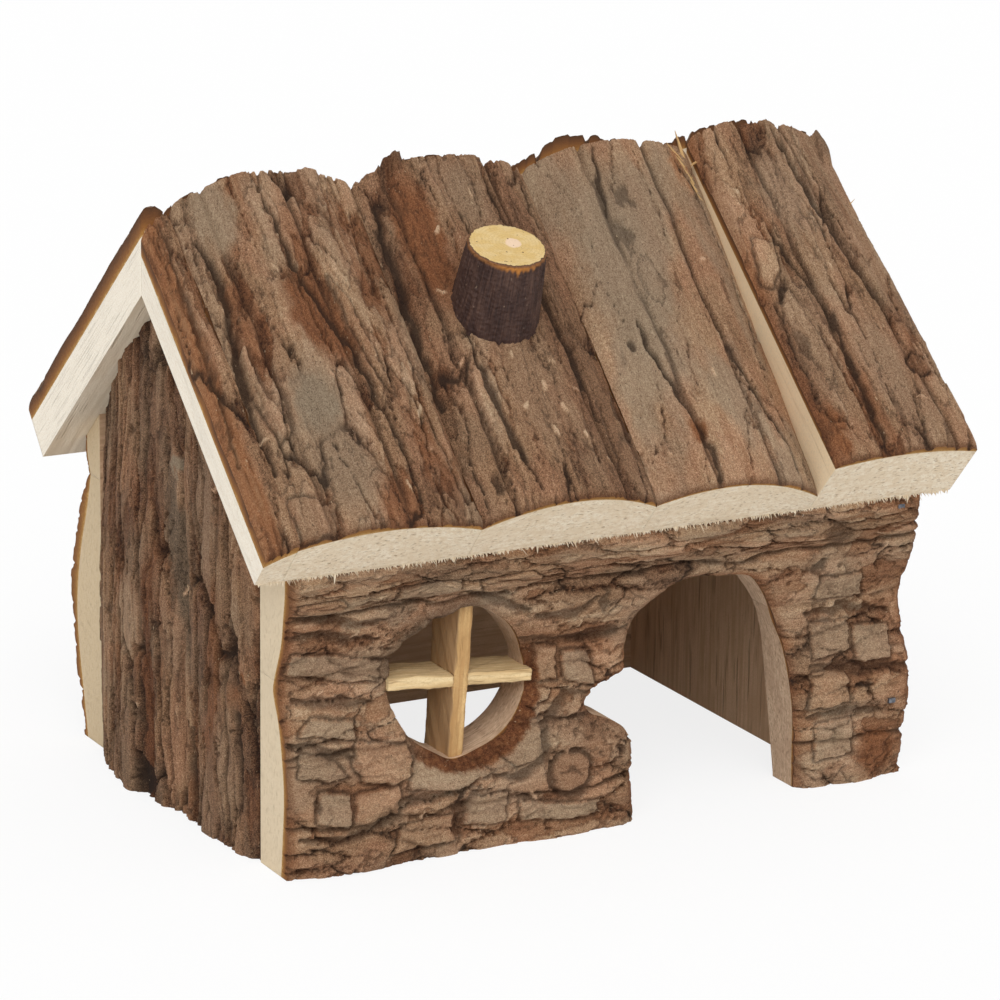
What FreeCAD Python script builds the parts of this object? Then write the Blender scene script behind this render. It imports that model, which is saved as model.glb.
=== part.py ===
"""Wooden hamster house of bark-covered half-log slabs.

Four glued slab walls stand on the ground with no floor.  Two slopes of edge-glued slabs meet
in a vertical mitre at the ridge.  The front wall has an arched door with a round notch in its
left jamb and a round window with a half-lapped cross, and a sawn branch stands on the front
slope as a chimney.  X runs along the ridge, the front faces -Y, +Z is up, and the origin is
the middle of the footprint on the ground.
"""
import FreeCAD, Part
import os
import re
import Sketcher

Vector = FreeCAD.Vector
Rotation = FreeCAD.Rotation
Placement = FreeCAD.Placement

# Driving dimensions in millimetres and degrees
SIZES = {
    # Box of the house
    "roof_length": 200,
    "interior_depth": 98.8,
    "wall_height": 92.3,
    "roof_pitch": 41.2,
    "gable_overhang": 9.3,
    "eave_reach": 16.6,
    # Front wall: thickness at the ground, at the glued joint and under the eave
    "front_foot": 13.4,
    "front_waist": 11.3,
    "front_top": 17.5,
    "front_joint_height": 50,
    "front_lower_rise": 3.9,
    "front_upper_rise": 1.3,
    # Back wall: one wide slab and a narrow one over it
    "back_foot": 12.5,
    "back_waist": 7.6,
    "back_top": 10,
    "back_cap_height": 17.8,
    "back_lower_rise": 11.6,
    "back_cap_rise": 0.6,
    # Gable walls
    "gable_edge": 19,
    "gable_seam": 21.3,
    "gable_seam_offset": 9,
    "gable_front_rise": 2.2,
    "gable_back_rise": 5.7,
    # Roof slabs: widths along the ridge
    "front_strip_width": 7.5,
    "front_slab_1_width": 50.5,
    "front_slab_2_width": 49.5,
    "front_slab_3_width": 49.5,
    "back_strip_width": 6,
    "back_slab_1_width": 51,
    "back_slab_2_width": 46,
    "back_slab_3_width": 45,
    # Roof slabs: thickness at their seams and the rise of their crowns
    "front_strip_edge": 14.5,
    "back_strip_edge": 16.5,
    "slab_seam": 15.2,
    "thin_edge_at_eave": 7.3,
    "thin_edge_at_ridge": 16.2,
    "thick_slab_edge": 20.4,
    "outer_edge_at_ridge": 15.8,
    "strip_rise": 0.7,
    "crown_rise_1": 4.7,
    "crown_rise_2": 6,
    "eave_rise_3": 6.2,
    "ridge_rise_3": 5.4,
    "eave_rise_4": 2.5,
    "ridge_rise_4": 4.4,
    # Doorway
    "door_left": 7.3,
    "door_width": 51,
    "door_height": 62.3,
    "door_lean": 6.9,
    "jamb_bow": 1.4,
    "notch_height": 33.5,
    "notch_radius": 5.1,
    "notch_lower_round": 8,
    "notch_upper_round": 6,
    # Window and its cross
    "window_x": 42.8,
    "window_height": 43.8,
    "window_radius": 19.8,
    "upright_width": 3.7,
    "crossbar_height": 3.1,
    "cross_depth": 14,
    "cross_inside": 1.6,
    # Chimney branch and the nail that holds it
    "chimney_x": 18.6,
    "chimney_run": 34.9,
    "chimney_height": 18,
    "chimney_root": 12,
    "chimney_foot_radius": 11.4,
    "chimney_top_radius": 10,
    "chimney_tilt": 20.2,
    "nail_radius": 1,
    "nail_head_radius": 2.5,
    "nail_head_height": 1.2,
    "nail_bite": 11,
    # Brads through the front and back walls into the gable walls
    "brad_length": 30,
    "brad_width": 1.25,
    "brad_gauge": 1,
    "brad_head_width": 2,
    "brad_head_height": 1,
    "brad_inset": 6,
    "brad_low": 22,
    "front_brad_drop": 1.8,
    "back_brad_drop": 16,
}

# Places that follow from the driving dimensions
DERIVED = {
    "half_depth": "interior_depth / 2",
    "roof_end": "roof_length / 2",
    "wall_end": "roof_end - gable_overhang",
    "rise_rate": "tan(roof_pitch * 1deg)",
    "lean": "cos(roof_pitch * 1deg)",
    "ridge_height": "wall_height + half_depth * rise_rate",
    "eave_y": "half_depth + eave_reach",
    "eave_height": "ridge_height - eave_y * rise_rate",
    "slope_length": "eave_y / lean",
    "mitre_reach": "2 * thick_slab_edge",
    "back_joint_height": "wall_height - back_cap_height",
    "front_top_height": "wall_height - front_top * rise_rate",
    "back_top_height": "wall_height - back_top * rise_rate",
    "gable_inner": "wall_end - gable_edge",
    "door_middle": "door_left + door_width / 2",
    "door_right": "door_left + door_width",
    "notch_x": "door_left - notch_lower_round",
    "shoulder_height": "notch_height + notch_radius + notch_upper_round",
    "left_shoulder": "notch_x + notch_upper_round",
    "right_shoulder": "door_right - door_lean",
    "crown_x": "(left_shoulder + right_shoulder) / 2",
    "half_span": "(right_shoulder - left_shoulder) / 2",
    "crown_rise": "door_height - shoulder_height",
    "front_seam_1": "-roof_end + front_strip_width",
    "front_seam_2": "front_seam_1 + front_slab_1_width",
    "front_seam_3": "front_seam_2 + front_slab_2_width",
    "front_seam_4": "front_seam_3 + front_slab_3_width",
    "back_seam_1": "-roof_end + back_strip_width",
    "back_seam_2": "back_seam_1 + back_slab_1_width",
    "back_seam_3": "back_seam_2 + back_slab_2_width",
    "back_seam_4": "back_seam_3 + back_slab_3_width",
    "back_rise_4": "thick_slab_edge + eave_rise_4 - slab_seam",
    "chimney_seat": "slab_seam + crown_rise_2",
    "chimney_base_z": "ridge_height - chimney_run * rise_rate + chimney_seat / lean",
    "nail_y": "chimney_run - chimney_seat * sin(roof_pitch * 1deg)",
    "nail_z": "ridge_height - nail_y * rise_rate",
    "front_brad_height": "front_top_height - front_brad_drop",
    "back_brad_height": "back_joint_height - back_brad_drop",
}

HALF_CHORD = 0.5 ** 0.5
BELOW_GROUND = "-2"
ABOVE_RIDGE = "ridge_height + gable_edge"

doc = FreeCAD.newDocument("hamster_house")
sheet = doc.addObject("Spreadsheet::Sheet", "Sizes")
for row, (alias, value) in enumerate(SIZES.items(), start=1):
    sheet.set(f"A{row}", alias)
    sheet.set(f"B{row}", str(value))
    sheet.setAlias(f"B{row}", alias)
doc.recompute()


def bound(text):
    """Write an expression over the sheet's cells, with the derived places worked in."""
    def cell(match):
        word = match.group()
        if word in SIZES:
            return f"Sizes.{word}"
        if word in DERIVED:
            return f"({bound(DERIVED[word])})"
        return word
    return re.sub(r"[a-z][a-z_0-9]*", cell, text)


def value_of(text):
    """The number that an expression over the sheet gives now."""
    result = sheet.evalExpression(bound(text))
    return float(getattr(result, "Value", result))


def bind(item, path, text):
    """Tie one property of an object to an expression over the sheet."""
    item.setExpression(path, bound(text))


def new_body(name):
    body = doc.addObject("PartDesign::Body", name)
    body.Label = name
    return body


def new_sketch(body, name, role, offset="0", height="0", turn_axis=None):
    """A sketch on one of the body's own origin planes, moved along its normal and height.

    With a turn axis the sketch plane is also turned by the roof's pitch.
    """
    plane = [item for item in body.Origin.OriginFeatures if item.Role == role][0]
    sketch = body.newObject("Sketcher::SketchObject", name)
    sketch.AttachmentSupport = [(plane, "")]
    sketch.MapMode = "FlatFace"
    turn = Rotation()
    if turn_axis is not None:
        turn = Rotation(turn_axis, value_of("roof_pitch"))
    sketch.AttachmentOffset = Placement(Vector(0, value_of(height), value_of(offset)), turn)
    bind(sketch, "AttachmentOffset.Base.y", height)
    bind(sketch, "AttachmentOffset.Base.z", offset)
    if turn_axis is not None:
        bind(sketch, "AttachmentOffset.Rotation.Angle", "roof_pitch")
    return sketch


def pin(sketch, item, spot, across, up):
    """Hold an item's start, end or centre at two bound distances from the sketch's origin."""
    number = ["edge", "start", "end", "centre"].index(spot)
    for kind, text in (("DistanceX", across), ("DistanceY", up)):
        rule = Sketcher.Constraint(kind, -1, 1, item, number, value_of(text))
        bind(sketch, f"Constraints[{sketch.addConstraint(rule)}]", text)


def draw_outline(sketch, corners):
    """Draw a closed outline.

    Each corner is (across, up), and the line from it to the next corner is straight, or
    (across, up, via_across, via_up), and the line is an arc through that third point.
    """
    places = [Vector(value_of(corner[0]), value_of(corner[1]), 0) for corner in corners]
    count = len(corners)
    for number, corner in enumerate(corners):
        start = places[number]
        stop = places[(number + 1) % count]
        if len(corner) == 2:
            sketch.addGeometry(Part.LineSegment(start, stop), False)
        else:
            middle = Vector(value_of(corner[2]), value_of(corner[3]), 0)
            sketch.addGeometry(Part.Arc(start, middle, stop), False)
    forward = [sketch.getPoint(number, 1).isEqual(places[number], Part.Precision.confusion())
               for number in range(count)]
    for number in range(count):
        following = (number + 1) % count
        joined = (number, 2 if forward[number] else 1, following, 1 if forward[following] else 2)
        sketch.addConstraint(Sketcher.Constraint("Coincident", *joined))
        pin(sketch, number, "start" if forward[number] else "end", *corners[number][:2])
    arcs = [number for number in range(count) if len(corners[number]) == 4]
    for number in arcs:
        across, up = corners[number][2:]
        mark = sketch.addGeometry(Part.Point(Vector(value_of(across), value_of(up), 0)), True)
        pin(sketch, mark, "start", across, up)
        sketch.addConstraint(Sketcher.Constraint("PointOnObject", mark, 1, number))


def draw_circle(sketch, across, up, radius):
    centre = Vector(value_of(across), value_of(up), 0)
    ring = sketch.addGeometry(Part.Circle(centre, Vector(0, 0, 1), value_of(radius)), False)
    pin(sketch, ring, "centre", across, up)
    rule = sketch.addConstraint(Sketcher.Constraint("Radius", ring, value_of(radius)))
    bind(sketch, f"Constraints[{rule}]", radius)


def pad(body, sketch, length, backwards=False):
    feature = body.newObject("PartDesign::Pad", f"{body.Name}_pad")
    feature.Profile = sketch
    feature.Reversed = backwards
    bind(feature, "Length", length)
    return feature


def pocket_through(body, sketch):
    """Cut a sketch's outline out of the whole body, both ways from the sketch."""
    feature = body.newObject("PartDesign::Pocket", f"{sketch.Name}_pocket")
    feature.Profile = sketch
    feature.SideType = "Two sides"
    feature.Type = "ThroughAll"
    feature.Type2 = "ThroughAll"
    return feature


def middle_of(first, second, rise="0"):
    return f"(({first}) + ({second})) / 2 + ({rise})"


def door_outline():
    """The doorway seen from the front: arch, leaning right jamb, notch in the left jamb."""
    lower = f"notch_height - notch_radius - notch_lower_round * (1 - {HALF_CHORD})"
    upper = f"notch_height + notch_radius + notch_upper_round * (1 - {HALF_CHORD})"
    haunch = f"shoulder_height + crown_rise * {HALF_CHORD}"
    return [
        ("door_left", BELOW_GROUND),
        ("door_left", "notch_height - notch_radius - notch_lower_round",
         f"notch_x + notch_lower_round * {HALF_CHORD}", lower),
        ("notch_x", "notch_height - notch_radius", "notch_x - notch_radius", "notch_height"),
        ("notch_x", "notch_height + notch_radius",
         f"notch_x + notch_upper_round * {HALF_CHORD}", upper),
        ("left_shoulder", "shoulder_height", f"crown_x - half_span * {HALF_CHORD}", haunch),
        ("crown_x", "door_height", f"crown_x + half_span * {HALF_CHORD}", haunch),
        ("right_shoulder", "shoulder_height",
         middle_of("right_shoulder", "door_right", "jamb_bow"), "shoulder_height / 2"),
        ("door_right", "0"),
        ("door_right", BELOW_GROUND),
    ]


def wall_slab(name, left, right, section, cut_door=False, cut_window=False):
    """A half-log slab whose grain runs along X, padded from its end section."""
    body = new_body(name)
    sketch = new_sketch(body, f"{name}_section", "YZ_Plane", offset=left)
    draw_outline(sketch, section)
    pad(body, sketch, f"({right}) - ({left})")
    if cut_door:
        sketch = new_sketch(body, f"{name}_door", "XZ_Plane")
        draw_outline(sketch, door_outline())
        pocket_through(body, sketch)
    if cut_window:
        sketch = new_sketch(body, f"{name}_window", "XZ_Plane")
        draw_circle(sketch, "-window_x", "window_height", "window_radius")
        pocket_through(body, sketch)
    return body


def front_wall():
    inner = "-half_depth"
    foot = "-half_depth - front_foot"
    waist = "-half_depth - front_waist"
    top = "-half_depth - front_top"
    lower = [
        (inner, "0"),
        (inner, "front_joint_height"),
        (waist, "front_joint_height",
         middle_of(foot, waist, "-front_lower_rise"), "front_joint_height / 2"),
        (foot, "0"),
    ]
    upper = [
        (inner, "front_joint_height"),
        (inner, "wall_height"),
        (top, "front_top_height", middle_of(top, waist, "-front_upper_rise"),
         middle_of("front_top_height", "front_joint_height")),
        (waist, "front_joint_height"),
    ]
    return [
        wall_slab("front_wall_lower_slab", "-wall_end", "door_middle", lower, True, True),
        wall_slab("front_wall_door_post", "door_middle", "wall_end", lower, True),
        wall_slab("front_wall_upper_slab", "-wall_end", "wall_end", upper, True, True),
    ]


def back_wall():
    inner = "half_depth"
    foot = "half_depth + back_foot"
    waist = "half_depth + back_waist"
    top = "half_depth + back_top"
    lower = [
        (inner, "0"),
        (foot, "0", middle_of(foot, waist, "back_lower_rise"), "back_joint_height / 2"),
        (waist, "back_joint_height"),
        (inner, "back_joint_height"),
    ]
    cap = [
        (inner, "back_joint_height"),
        (waist, "back_joint_height", middle_of(waist, top, "back_cap_rise"),
         middle_of("back_joint_height", "back_top_height")),
        (top, "back_top_height"),
        (inner, "wall_height"),
    ]
    return [
        wall_slab("back_wall_lower_slab", "-wall_end", "wall_end", lower),
        wall_slab("back_wall_upper_slab", "-wall_end", "wall_end", cap),
    ]


def gable_slab(name, side, near, far, near_edge, far_edge, rise):
    """A half-log slab with upright grain, cut to the roof's underside at the top.

    near and far are its edges in Y with their thicknesses, and side is "-" or "+" in X.
    """
    def outward(thickness):
        return f"{side}(gable_inner + {thickness})"
    body = new_body(name)
    sketch = new_sketch(body, f"{name}_section", "XY_Plane")
    draw_outline(sketch, [
        (outward("0"), near),
        (outward(near_edge), near,
         outward(f"({near_edge} + {far_edge}) / 2 + {rise}"), middle_of(near, far)),
        (outward(far_edge), far),
        (outward("0"), far),
    ])
    pad(body, sketch, ABOVE_RIDGE)
    sketch = new_sketch(body, f"{name}_roofline", "YZ_Plane")
    draw_outline(sketch, [
        ("-eave_y", "eave_height"),
        ("0", "ridge_height"),
        ("eave_y", "eave_height"),
        ("eave_y", f"{ABOVE_RIDGE} + 1"),
        ("-eave_y", f"{ABOVE_RIDGE} + 1"),
    ])
    pocket_through(body, sketch)
    return body


def gable_walls():
    front = ("-half_depth", "-gable_seam_offset", "gable_edge", "gable_seam", "gable_front_rise")
    back = ("-gable_seam_offset", "half_depth", "gable_seam", "gable_edge", "gable_back_rise")
    slabs = []
    for word, side in (("left", "-"), ("right", "+")):
        slabs.append(gable_slab(f"{word}_gable_front_slab", side, *front))
        slabs.append(gable_slab(f"{word}_gable_back_slab", side, *back))
    return slabs


def slab_section(body, name, front, left, right, edges, past_ridge=None):
    """A roof slab's section square to its slope, at the eave or a distance past the ridge.

    edges holds the thickness at the left edge, at the right edge and the rise of the crown
    between them.
    """
    side = "" if front else "-"
    offset, height = f"{side}eave_y", "eave_height"
    if past_ridge:
        offset = f"{'-' if front else ''}({past_ridge}) * lean"
        height = f"ridge_height + ({past_ridge}) * sin(roof_pitch * 1deg)"
    sketch = new_sketch(body, name, "XZ_Plane", offset=offset, height=height,
                        turn_axis=Vector(1 if front else -1, 0, 0))
    left_edge, right_edge, rise = edges
    draw_outline(sketch, [
        (left, "0"),
        (right, "0"),
        (right, right_edge, middle_of(left, right), middle_of(left_edge, right_edge, rise)),
        (left, left_edge),
    ])
    return sketch


def roof_slab(name, front, left, right, eave, ridge=None):
    """A slab that runs down one slope, mitred at the ridge and sawn square at the eave.

    It has the eave's section all the way, or with a ridge section it changes evenly into that.
    """
    body = new_body(name)
    at_eave = slab_section(body, f"{name}_eave_section", front, left, right, eave)
    if ridge is None:
        pad(body, at_eave, "slope_length + mitre_reach", backwards=front)
    else:
        run_on = [f"({high}) + (({high}) - ({low})) * mitre_reach / slope_length"
                  for low, high in zip(eave, ridge)]
        loft = body.newObject("PartDesign::AdditiveLoft", f"{name}_loft")
        loft.Profile = at_eave
        loft.Sections = [slab_section(body, f"{name}_upper_section", front, left, right,
                                      run_on, past_ridge="mitre_reach")]
        loft.Ruled = True
    beyond = "2 * mitre_reach" if front else "-2 * mitre_reach"
    mitre = new_sketch(body, f"{name}_mitre", "YZ_Plane")
    draw_outline(mitre, [
        ("0", "ridge_height - mitre_reach"),
        (beyond, "ridge_height - mitre_reach"),
        (beyond, "ridge_height + 2 * mitre_reach"),
        ("0", "ridge_height + 2 * mitre_reach"),
    ])
    pocket_through(body, mitre)
    return body


def roof():
    """Both slopes, each a narrow strip and four slabs from left to right."""
    slab_1, slab_2 = [("slab_seam", "slab_seam", rise) for rise in ("crown_rise_1", "crown_rise_2")]
    front_sections = [
        [("front_strip_edge", "front_strip_edge", "strip_rise")],
        [slab_1],
        [slab_2],
        [("slab_seam", "thin_edge_at_eave", "eave_rise_3"),
         ("slab_seam", "thin_edge_at_ridge", "ridge_rise_3")],
        [("thick_slab_edge", "thick_slab_edge", "eave_rise_4"),
         ("thick_slab_edge", "outer_edge_at_ridge", "ridge_rise_4")],
    ]
    back_sections = [
        [("back_strip_edge", "back_strip_edge", "strip_rise")],
        [slab_2],
        [slab_2],
        [slab_2],
        [("slab_seam", "slab_seam", "back_rise_4")],
    ]
    names = ["edge_strip", "slab_1", "slab_2", "slab_3", "slab_4"]
    slabs = []
    for slope, sections in (("front", front_sections), ("back", back_sections)):
        seams = [f"{slope}_seam_{number}" for number in range(1, len(names))]
        edges = ["-roof_end", *seams, "roof_end"]
        for number, name in enumerate(names):
            slabs.append(roof_slab(f"roof_{slope}_{name}", slope == "front",
                                   edges[number], edges[number + 1], *sections[number]))
    return slabs


def window_cross():
    """An upright and a crossbar, half-lapped where they cross, with ends on the round hole."""
    bars = []
    upright_reach = "sqrt(window_radius ^ 2 - (upright_width / 2) ^ 2)"
    crossbar_reach = "sqrt(window_radius ^ 2 - (crossbar_height / 2) ^ 2)"
    reach = {
        "window_upright": ("upright_width / 2", upright_reach),
        "window_crossbar": (crossbar_reach, "crossbar_height / 2"),
    }
    inside = "half_depth - cross_inside"
    for name, (half_width, half_height) in reach.items():
        body = new_body(name)
        bar = new_sketch(body, f"{name}_face", "XZ_Plane", offset=inside)
        draw_outline(bar, rectangle("-window_x", "window_height", half_width, half_height))
        pad(body, bar, "cross_depth")
        lap_start = inside
        if name == "window_crossbar":
            lap_start = f"{inside} + cross_depth / 2"
        lap = new_sketch(body, f"{name}_lap", "XZ_Plane", offset=lap_start)
        draw_outline(lap, rectangle("-window_x", "window_height",
                                    "upright_width / 2", "crossbar_height / 2"))
        notch = body.newObject("PartDesign::Pocket", f"{name}_notch")
        notch.Profile = lap
        notch.Reversed = True
        bind(notch, "Length", "cross_depth / 2")
        bars.append(body)
    return bars


def rectangle(across, up, half_width, half_height):
    return [
        (f"{across} - {half_width}", f"{up} - {half_height}"),
        (f"{across} + {half_width}", f"{up} - {half_height}"),
        (f"{across} + {half_width}", f"{up} + {half_height}"),
        (f"{across} - {half_width}", f"{up} + {half_height}"),
    ]


def primitive(kind, name, sizes, corner=("0", "0", "0")):
    """A Part primitive with its sizes and the place of its own origin bound to the sheet."""
    item = doc.addObject(kind, name)
    for path, text in sizes.items():
        bind(item, path, text)
    for letter, text in zip("xyz", corner):
        bind(item, f"Placement.Base.{letter}", text)
    return item


def placed(item, place, axis, angle):
    """Turn a finished piece about one axis by a bound angle and move it to a bound place."""
    item.Placement = Placement(Vector(), Rotation(axis, value_of(angle)))
    for letter, text in zip("xyz", place):
        bind(item, f"Placement.Base.{letter}", text)
    bind(item, "Placement.Rotation.Angle", angle)
    return item


def fuse(name, first, second):
    joined = doc.addObject("Part::Fuse", name)
    joined.Base = first
    joined.Tool = second
    return joined


def cut(name, base, tool):
    """Cut a tool out of a piece.  The result takes over the piece's name."""
    base.Label = f"{name}_uncut"
    result = doc.addObject("Part::Cut", f"{name}_cut")
    result.Base = base
    result.Tool = tool
    result.Label = name
    return result


def compound(name, items):
    group = doc.addObject("Part::Compound", name)
    group.Links = items
    group.Label = name
    return group


def one_brad(name, place, axis):
    """A brad whose head lies flush at its place, driven square into the wall behind it."""
    shank = primitive("Part::Box", f"{name}_shank",
                      {"Length": "brad_width", "Width": "brad_gauge", "Height": "brad_length"},
                      ("-brad_width / 2", "-brad_gauge / 2", "-brad_length"))
    head = primitive("Part::Box", f"{name}_head",
                     {"Length": "brad_head_width", "Width": "brad_width",
                      "Height": "brad_head_height"},
                     ("-brad_head_width / 2", "-brad_width / 2", "-brad_head_height"))
    return placed(fuse(name, shank, head), place, axis, "90")


def surface_at(low_edge, high_edge, rise, height, low="0", high="1"):
    """The slab's thickness at a height between its two edges, along its crowned face."""
    share = f"(({height}) - ({low})) / (({high}) - ({low}))"
    return f"{low_edge} + ({high_edge} - {low_edge}) * {share} + 4 * {rise} * {share} * (1 - {share})"


def wall_brads(name, sign, axis, rows):
    """Two brads at each height, one over each gable wall."""
    brads = []
    for row, (height, thickness) in enumerate(rows):
        for word, side in (("left", "-"), ("right", "+")):
            place = (f"{side}(wall_end - brad_inset)", f"{sign}(half_depth + {thickness})", height)
            brads.append(one_brad(f"{name}_{word}_{row}", place, axis))
    return compound(name, brads)


def brad_groups():
    front_rows = [
        ("brad_low", surface_at("front_foot", "front_waist", "front_lower_rise",
                                "brad_low", "0", "front_joint_height")),
        ("front_brad_height", surface_at("front_waist", "front_top", "front_upper_rise",
                                         "front_brad_height", "front_joint_height",
                                         "front_top_height")),
    ]
    back_rows = [
        (height, surface_at("back_foot", "back_waist", "back_lower_rise",
                            height, "0", "back_joint_height"))
        for height in ("brad_low", "back_brad_height")
    ]
    front = wall_brads("front_wall_brads", "-", Vector(1, 0, 0), front_rows)
    back = wall_brads("back_wall_brads", "+", Vector(-1, 0, 0), back_rows)
    return front, back


def chimney_nail():
    """A nail driven square through the roof slab from inside, its head under the slab."""
    shank = primitive("Part::Cylinder", "nail_shank",
                      {"Radius": "nail_radius", "Height": "chimney_seat + nail_bite"})
    head = primitive("Part::Cylinder", "nail_head",
                     {"Radius": "nail_head_radius", "Height": "nail_head_height"},
                     ("0", "0", "-nail_head_height"))
    nail = fuse("chimney_nail", shank, head)
    return placed(nail, ("-chimney_x", "-nail_y", "nail_z"), Vector(1, 0, 0), "roof_pitch")


def chimney_branch():
    """A tapering branch stub that leans forward, long enough to be coped to the slab."""
    flare = "(chimney_foot_radius - chimney_top_radius) / chimney_height"
    sizes = {
        "Radius1": f"chimney_foot_radius + chimney_root * {flare}",
        "Radius2": "chimney_top_radius",
        "Height": "chimney_root + chimney_height",
    }
    stub = primitive("Part::Cone", "chimney_stub", sizes)
    run = "chimney_run - chimney_root * sin(chimney_tilt * 1deg)"
    height = "chimney_base_z - chimney_root * cos(chimney_tilt * 1deg)"
    return placed(stub, ("-chimney_x", f"-({run})", height), Vector(1, 0, 0), "chimney_tilt")


def build():
    """Every sub-part by node name."""
    front_brads, back_brads = brad_groups()
    nail = chimney_nail()
    pieces = [front_brads, back_brads, nail, *roof(), *window_cross()]
    pieces += front_wall() + back_wall() + gable_walls()
    nodes = {piece.Label: piece for piece in pieces}
    for name in ("front_wall_lower_slab", "front_wall_door_post", "front_wall_upper_slab",
                 "left_gable_front_slab", "right_gable_front_slab"):
        nodes[name] = cut(name, nodes[name], front_brads)
    for name in ("back_wall_lower_slab", "left_gable_back_slab", "right_gable_back_slab"):
        nodes[name] = cut(name, nodes[name], back_brads)
    carrier = nodes["roof_front_slab_2"]
    nodes["roof_front_slab_2"] = cut("roof_front_slab_2", carrier, nail)
    filler = fuse("chimney_seat_tool", carrier, nail)
    nodes["chimney"] = cut("chimney", chimney_branch(), filler)
    return nodes


def check(nodes):
    """Stop unless every object is sound and every node is closed solids only."""
    doc.recompute()
    for item in doc.Objects:
        if "Invalid" in item.State or "Error" in item.State:
            raise RuntimeError(f"{item.Name} failed: {item.State}")
    for name, item in nodes.items():
        shape = item.Shape
        if shape.isNull() or not shape.isValid() or not shape.Solids:
            raise RuntimeError(f"{name} has no valid solid")
        if not all(solid.isClosed() and solid.Volume > 0 for solid in shape.Solids):
            raise RuntimeError(f"{name} is not closed")


nodes = build()
check(nodes)
os.makedirs("parts", exist_ok=True)
total = 0
for name, item in sorted(nodes.items()):
    item.Shape.exportStep(f"parts/{name}.step")
    total += item.Shape.Volume
    size = item.Shape.BoundBox
    print(f"{name}: {len(item.Shape.Solids)} solids, {item.Shape.Volume / 1000:.2f} cm3, "
          f"{size.XLength:.1f} x {size.YLength:.1f} x {size.ZLength:.1f} mm")
print(f"{len(nodes)} nodes, {total / 1000:.1f} cm3")
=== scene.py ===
"""Looks of the wooden hamster house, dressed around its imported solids.

Each half-log slab becomes one closed mesh: a bark face with real relief, the cut edge of the
bark, sawn wood below it and a planed inner face.  Lengths are millimetres until a mesh is made.
"""
import math

import bmesh
import bpy
import numpy as np
from mathutils import Matrix, Vector
from mathutils.geometry import tessellate_polygon


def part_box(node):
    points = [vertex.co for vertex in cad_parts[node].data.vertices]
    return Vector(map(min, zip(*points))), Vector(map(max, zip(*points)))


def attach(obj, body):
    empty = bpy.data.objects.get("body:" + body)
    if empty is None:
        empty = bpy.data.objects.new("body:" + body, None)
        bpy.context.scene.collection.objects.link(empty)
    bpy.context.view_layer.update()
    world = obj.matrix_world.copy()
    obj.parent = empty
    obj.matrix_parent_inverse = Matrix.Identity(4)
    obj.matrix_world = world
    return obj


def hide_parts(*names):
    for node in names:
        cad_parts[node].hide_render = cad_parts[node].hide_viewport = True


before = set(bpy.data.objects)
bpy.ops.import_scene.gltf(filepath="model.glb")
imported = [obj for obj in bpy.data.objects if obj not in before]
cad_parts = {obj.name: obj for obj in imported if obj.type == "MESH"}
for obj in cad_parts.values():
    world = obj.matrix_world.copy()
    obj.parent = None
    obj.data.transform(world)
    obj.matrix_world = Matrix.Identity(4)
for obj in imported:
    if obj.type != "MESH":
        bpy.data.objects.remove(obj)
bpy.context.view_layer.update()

MM = 0.001
# Materials of a slab's faces, and of the branch's faces
BARK, RIM, WOOD, INNER, REVEAL = range(5)
BRANCH_BARK, BRANCH_CUT = range(2)


def node_box(*nodes):
    """Lowest and highest corner of some CAD nodes together, in millimetres."""
    corners = np.array([[list(corner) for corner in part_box(node)] for node in nodes]) / MM
    return corners[:, 0].min(axis=0), corners[:, 1].max(axis=0)


# Places read from the frame
wall_low, wall_high = node_box("front_wall_upper_slab")
gable_low, gable_high = node_box("left_gable_front_slab", "left_gable_back_slab")
RIDGE_Z = gable_high[2]
HALF_DEPTH = gable_high[1]
WALL_END = wall_high[0]
WALL_TOP = wall_high[2]
GABLE_INNER = -gable_high[0]
FRONT_JOINT = wall_low[2]
BACK_JOINT = node_box("back_wall_lower_slab")[1][2]
EAVE_Z = node_box("roof_front_edge_strip", "roof_front_slab_4")[0][2]
PITCH = math.atan2(RIDGE_Z - WALL_TOP, HALF_DEPTH)
SLOPE = (RIDGE_Z - EAVE_Z) / math.sin(PITCH)

# Grid spacing in millimetres, finest on the faces that the photo shows
FRONT_GRID, GABLE_GRID, REAR_GRID, REAR_ROOF_GRID = 0.4, 0.45, 0.6, 0.75

# Noise


def lattice(ix, iy, seed):
    """A repeatable random number from 0 to 1 for each whole-number place."""
    mixed = (ix.astype(np.int64) * 374761393 + iy.astype(np.int64) * 668265263 + seed * 2147483647)
    mixed = mixed & 0xFFFFFFFF
    mixed = ((mixed ^ (mixed >> 13)) * 1274126177) & 0xFFFFFFFF
    mixed = ((mixed ^ (mixed >> 15)) * 2246822519) & 0xFFFFFFFF
    return ((mixed ^ (mixed >> 16)) & 0xFFFFFF) / float(0xFFFFFF)


def smooth(value, low, high):
    """0 below low, 1 above high and an even rise between."""
    share = np.clip((value - low) / (high - low), 0, 1)
    return share * share * (3 - 2 * share)


def noise(x, y, seed):
    """Gradient noise, about -1 to 1."""
    ix, iy = np.floor(x), np.floor(y)
    fx, fy = x - ix, y - iy
    wx, wy = fx * fx * fx * (fx * (fx * 6 - 15) + 10), fy * fy * fy * (fy * (fy * 6 - 15) + 10)
    total = 0
    for dx in (0, 1):
        for dy in (0, 1):
            angle = lattice(ix + dx, iy + dy, seed) * 2 * math.pi
            slope = np.cos(angle) * (fx - dx) + np.sin(angle) * (fy - dy)
            total = total + slope * (wx if dx else 1 - wx) * (wy if dy else 1 - wy)
    return total * 1.5


def fractal(x, y, seed, octaves=4):
    """Gradient noise with finer and fainter noise on top."""
    total, size = 0, 1.0
    for octave in range(octaves):
        total = total + noise(x * 2 ** octave, y * 2 ** octave, seed + octave) * size
        size *= 0.5
    return total


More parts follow.
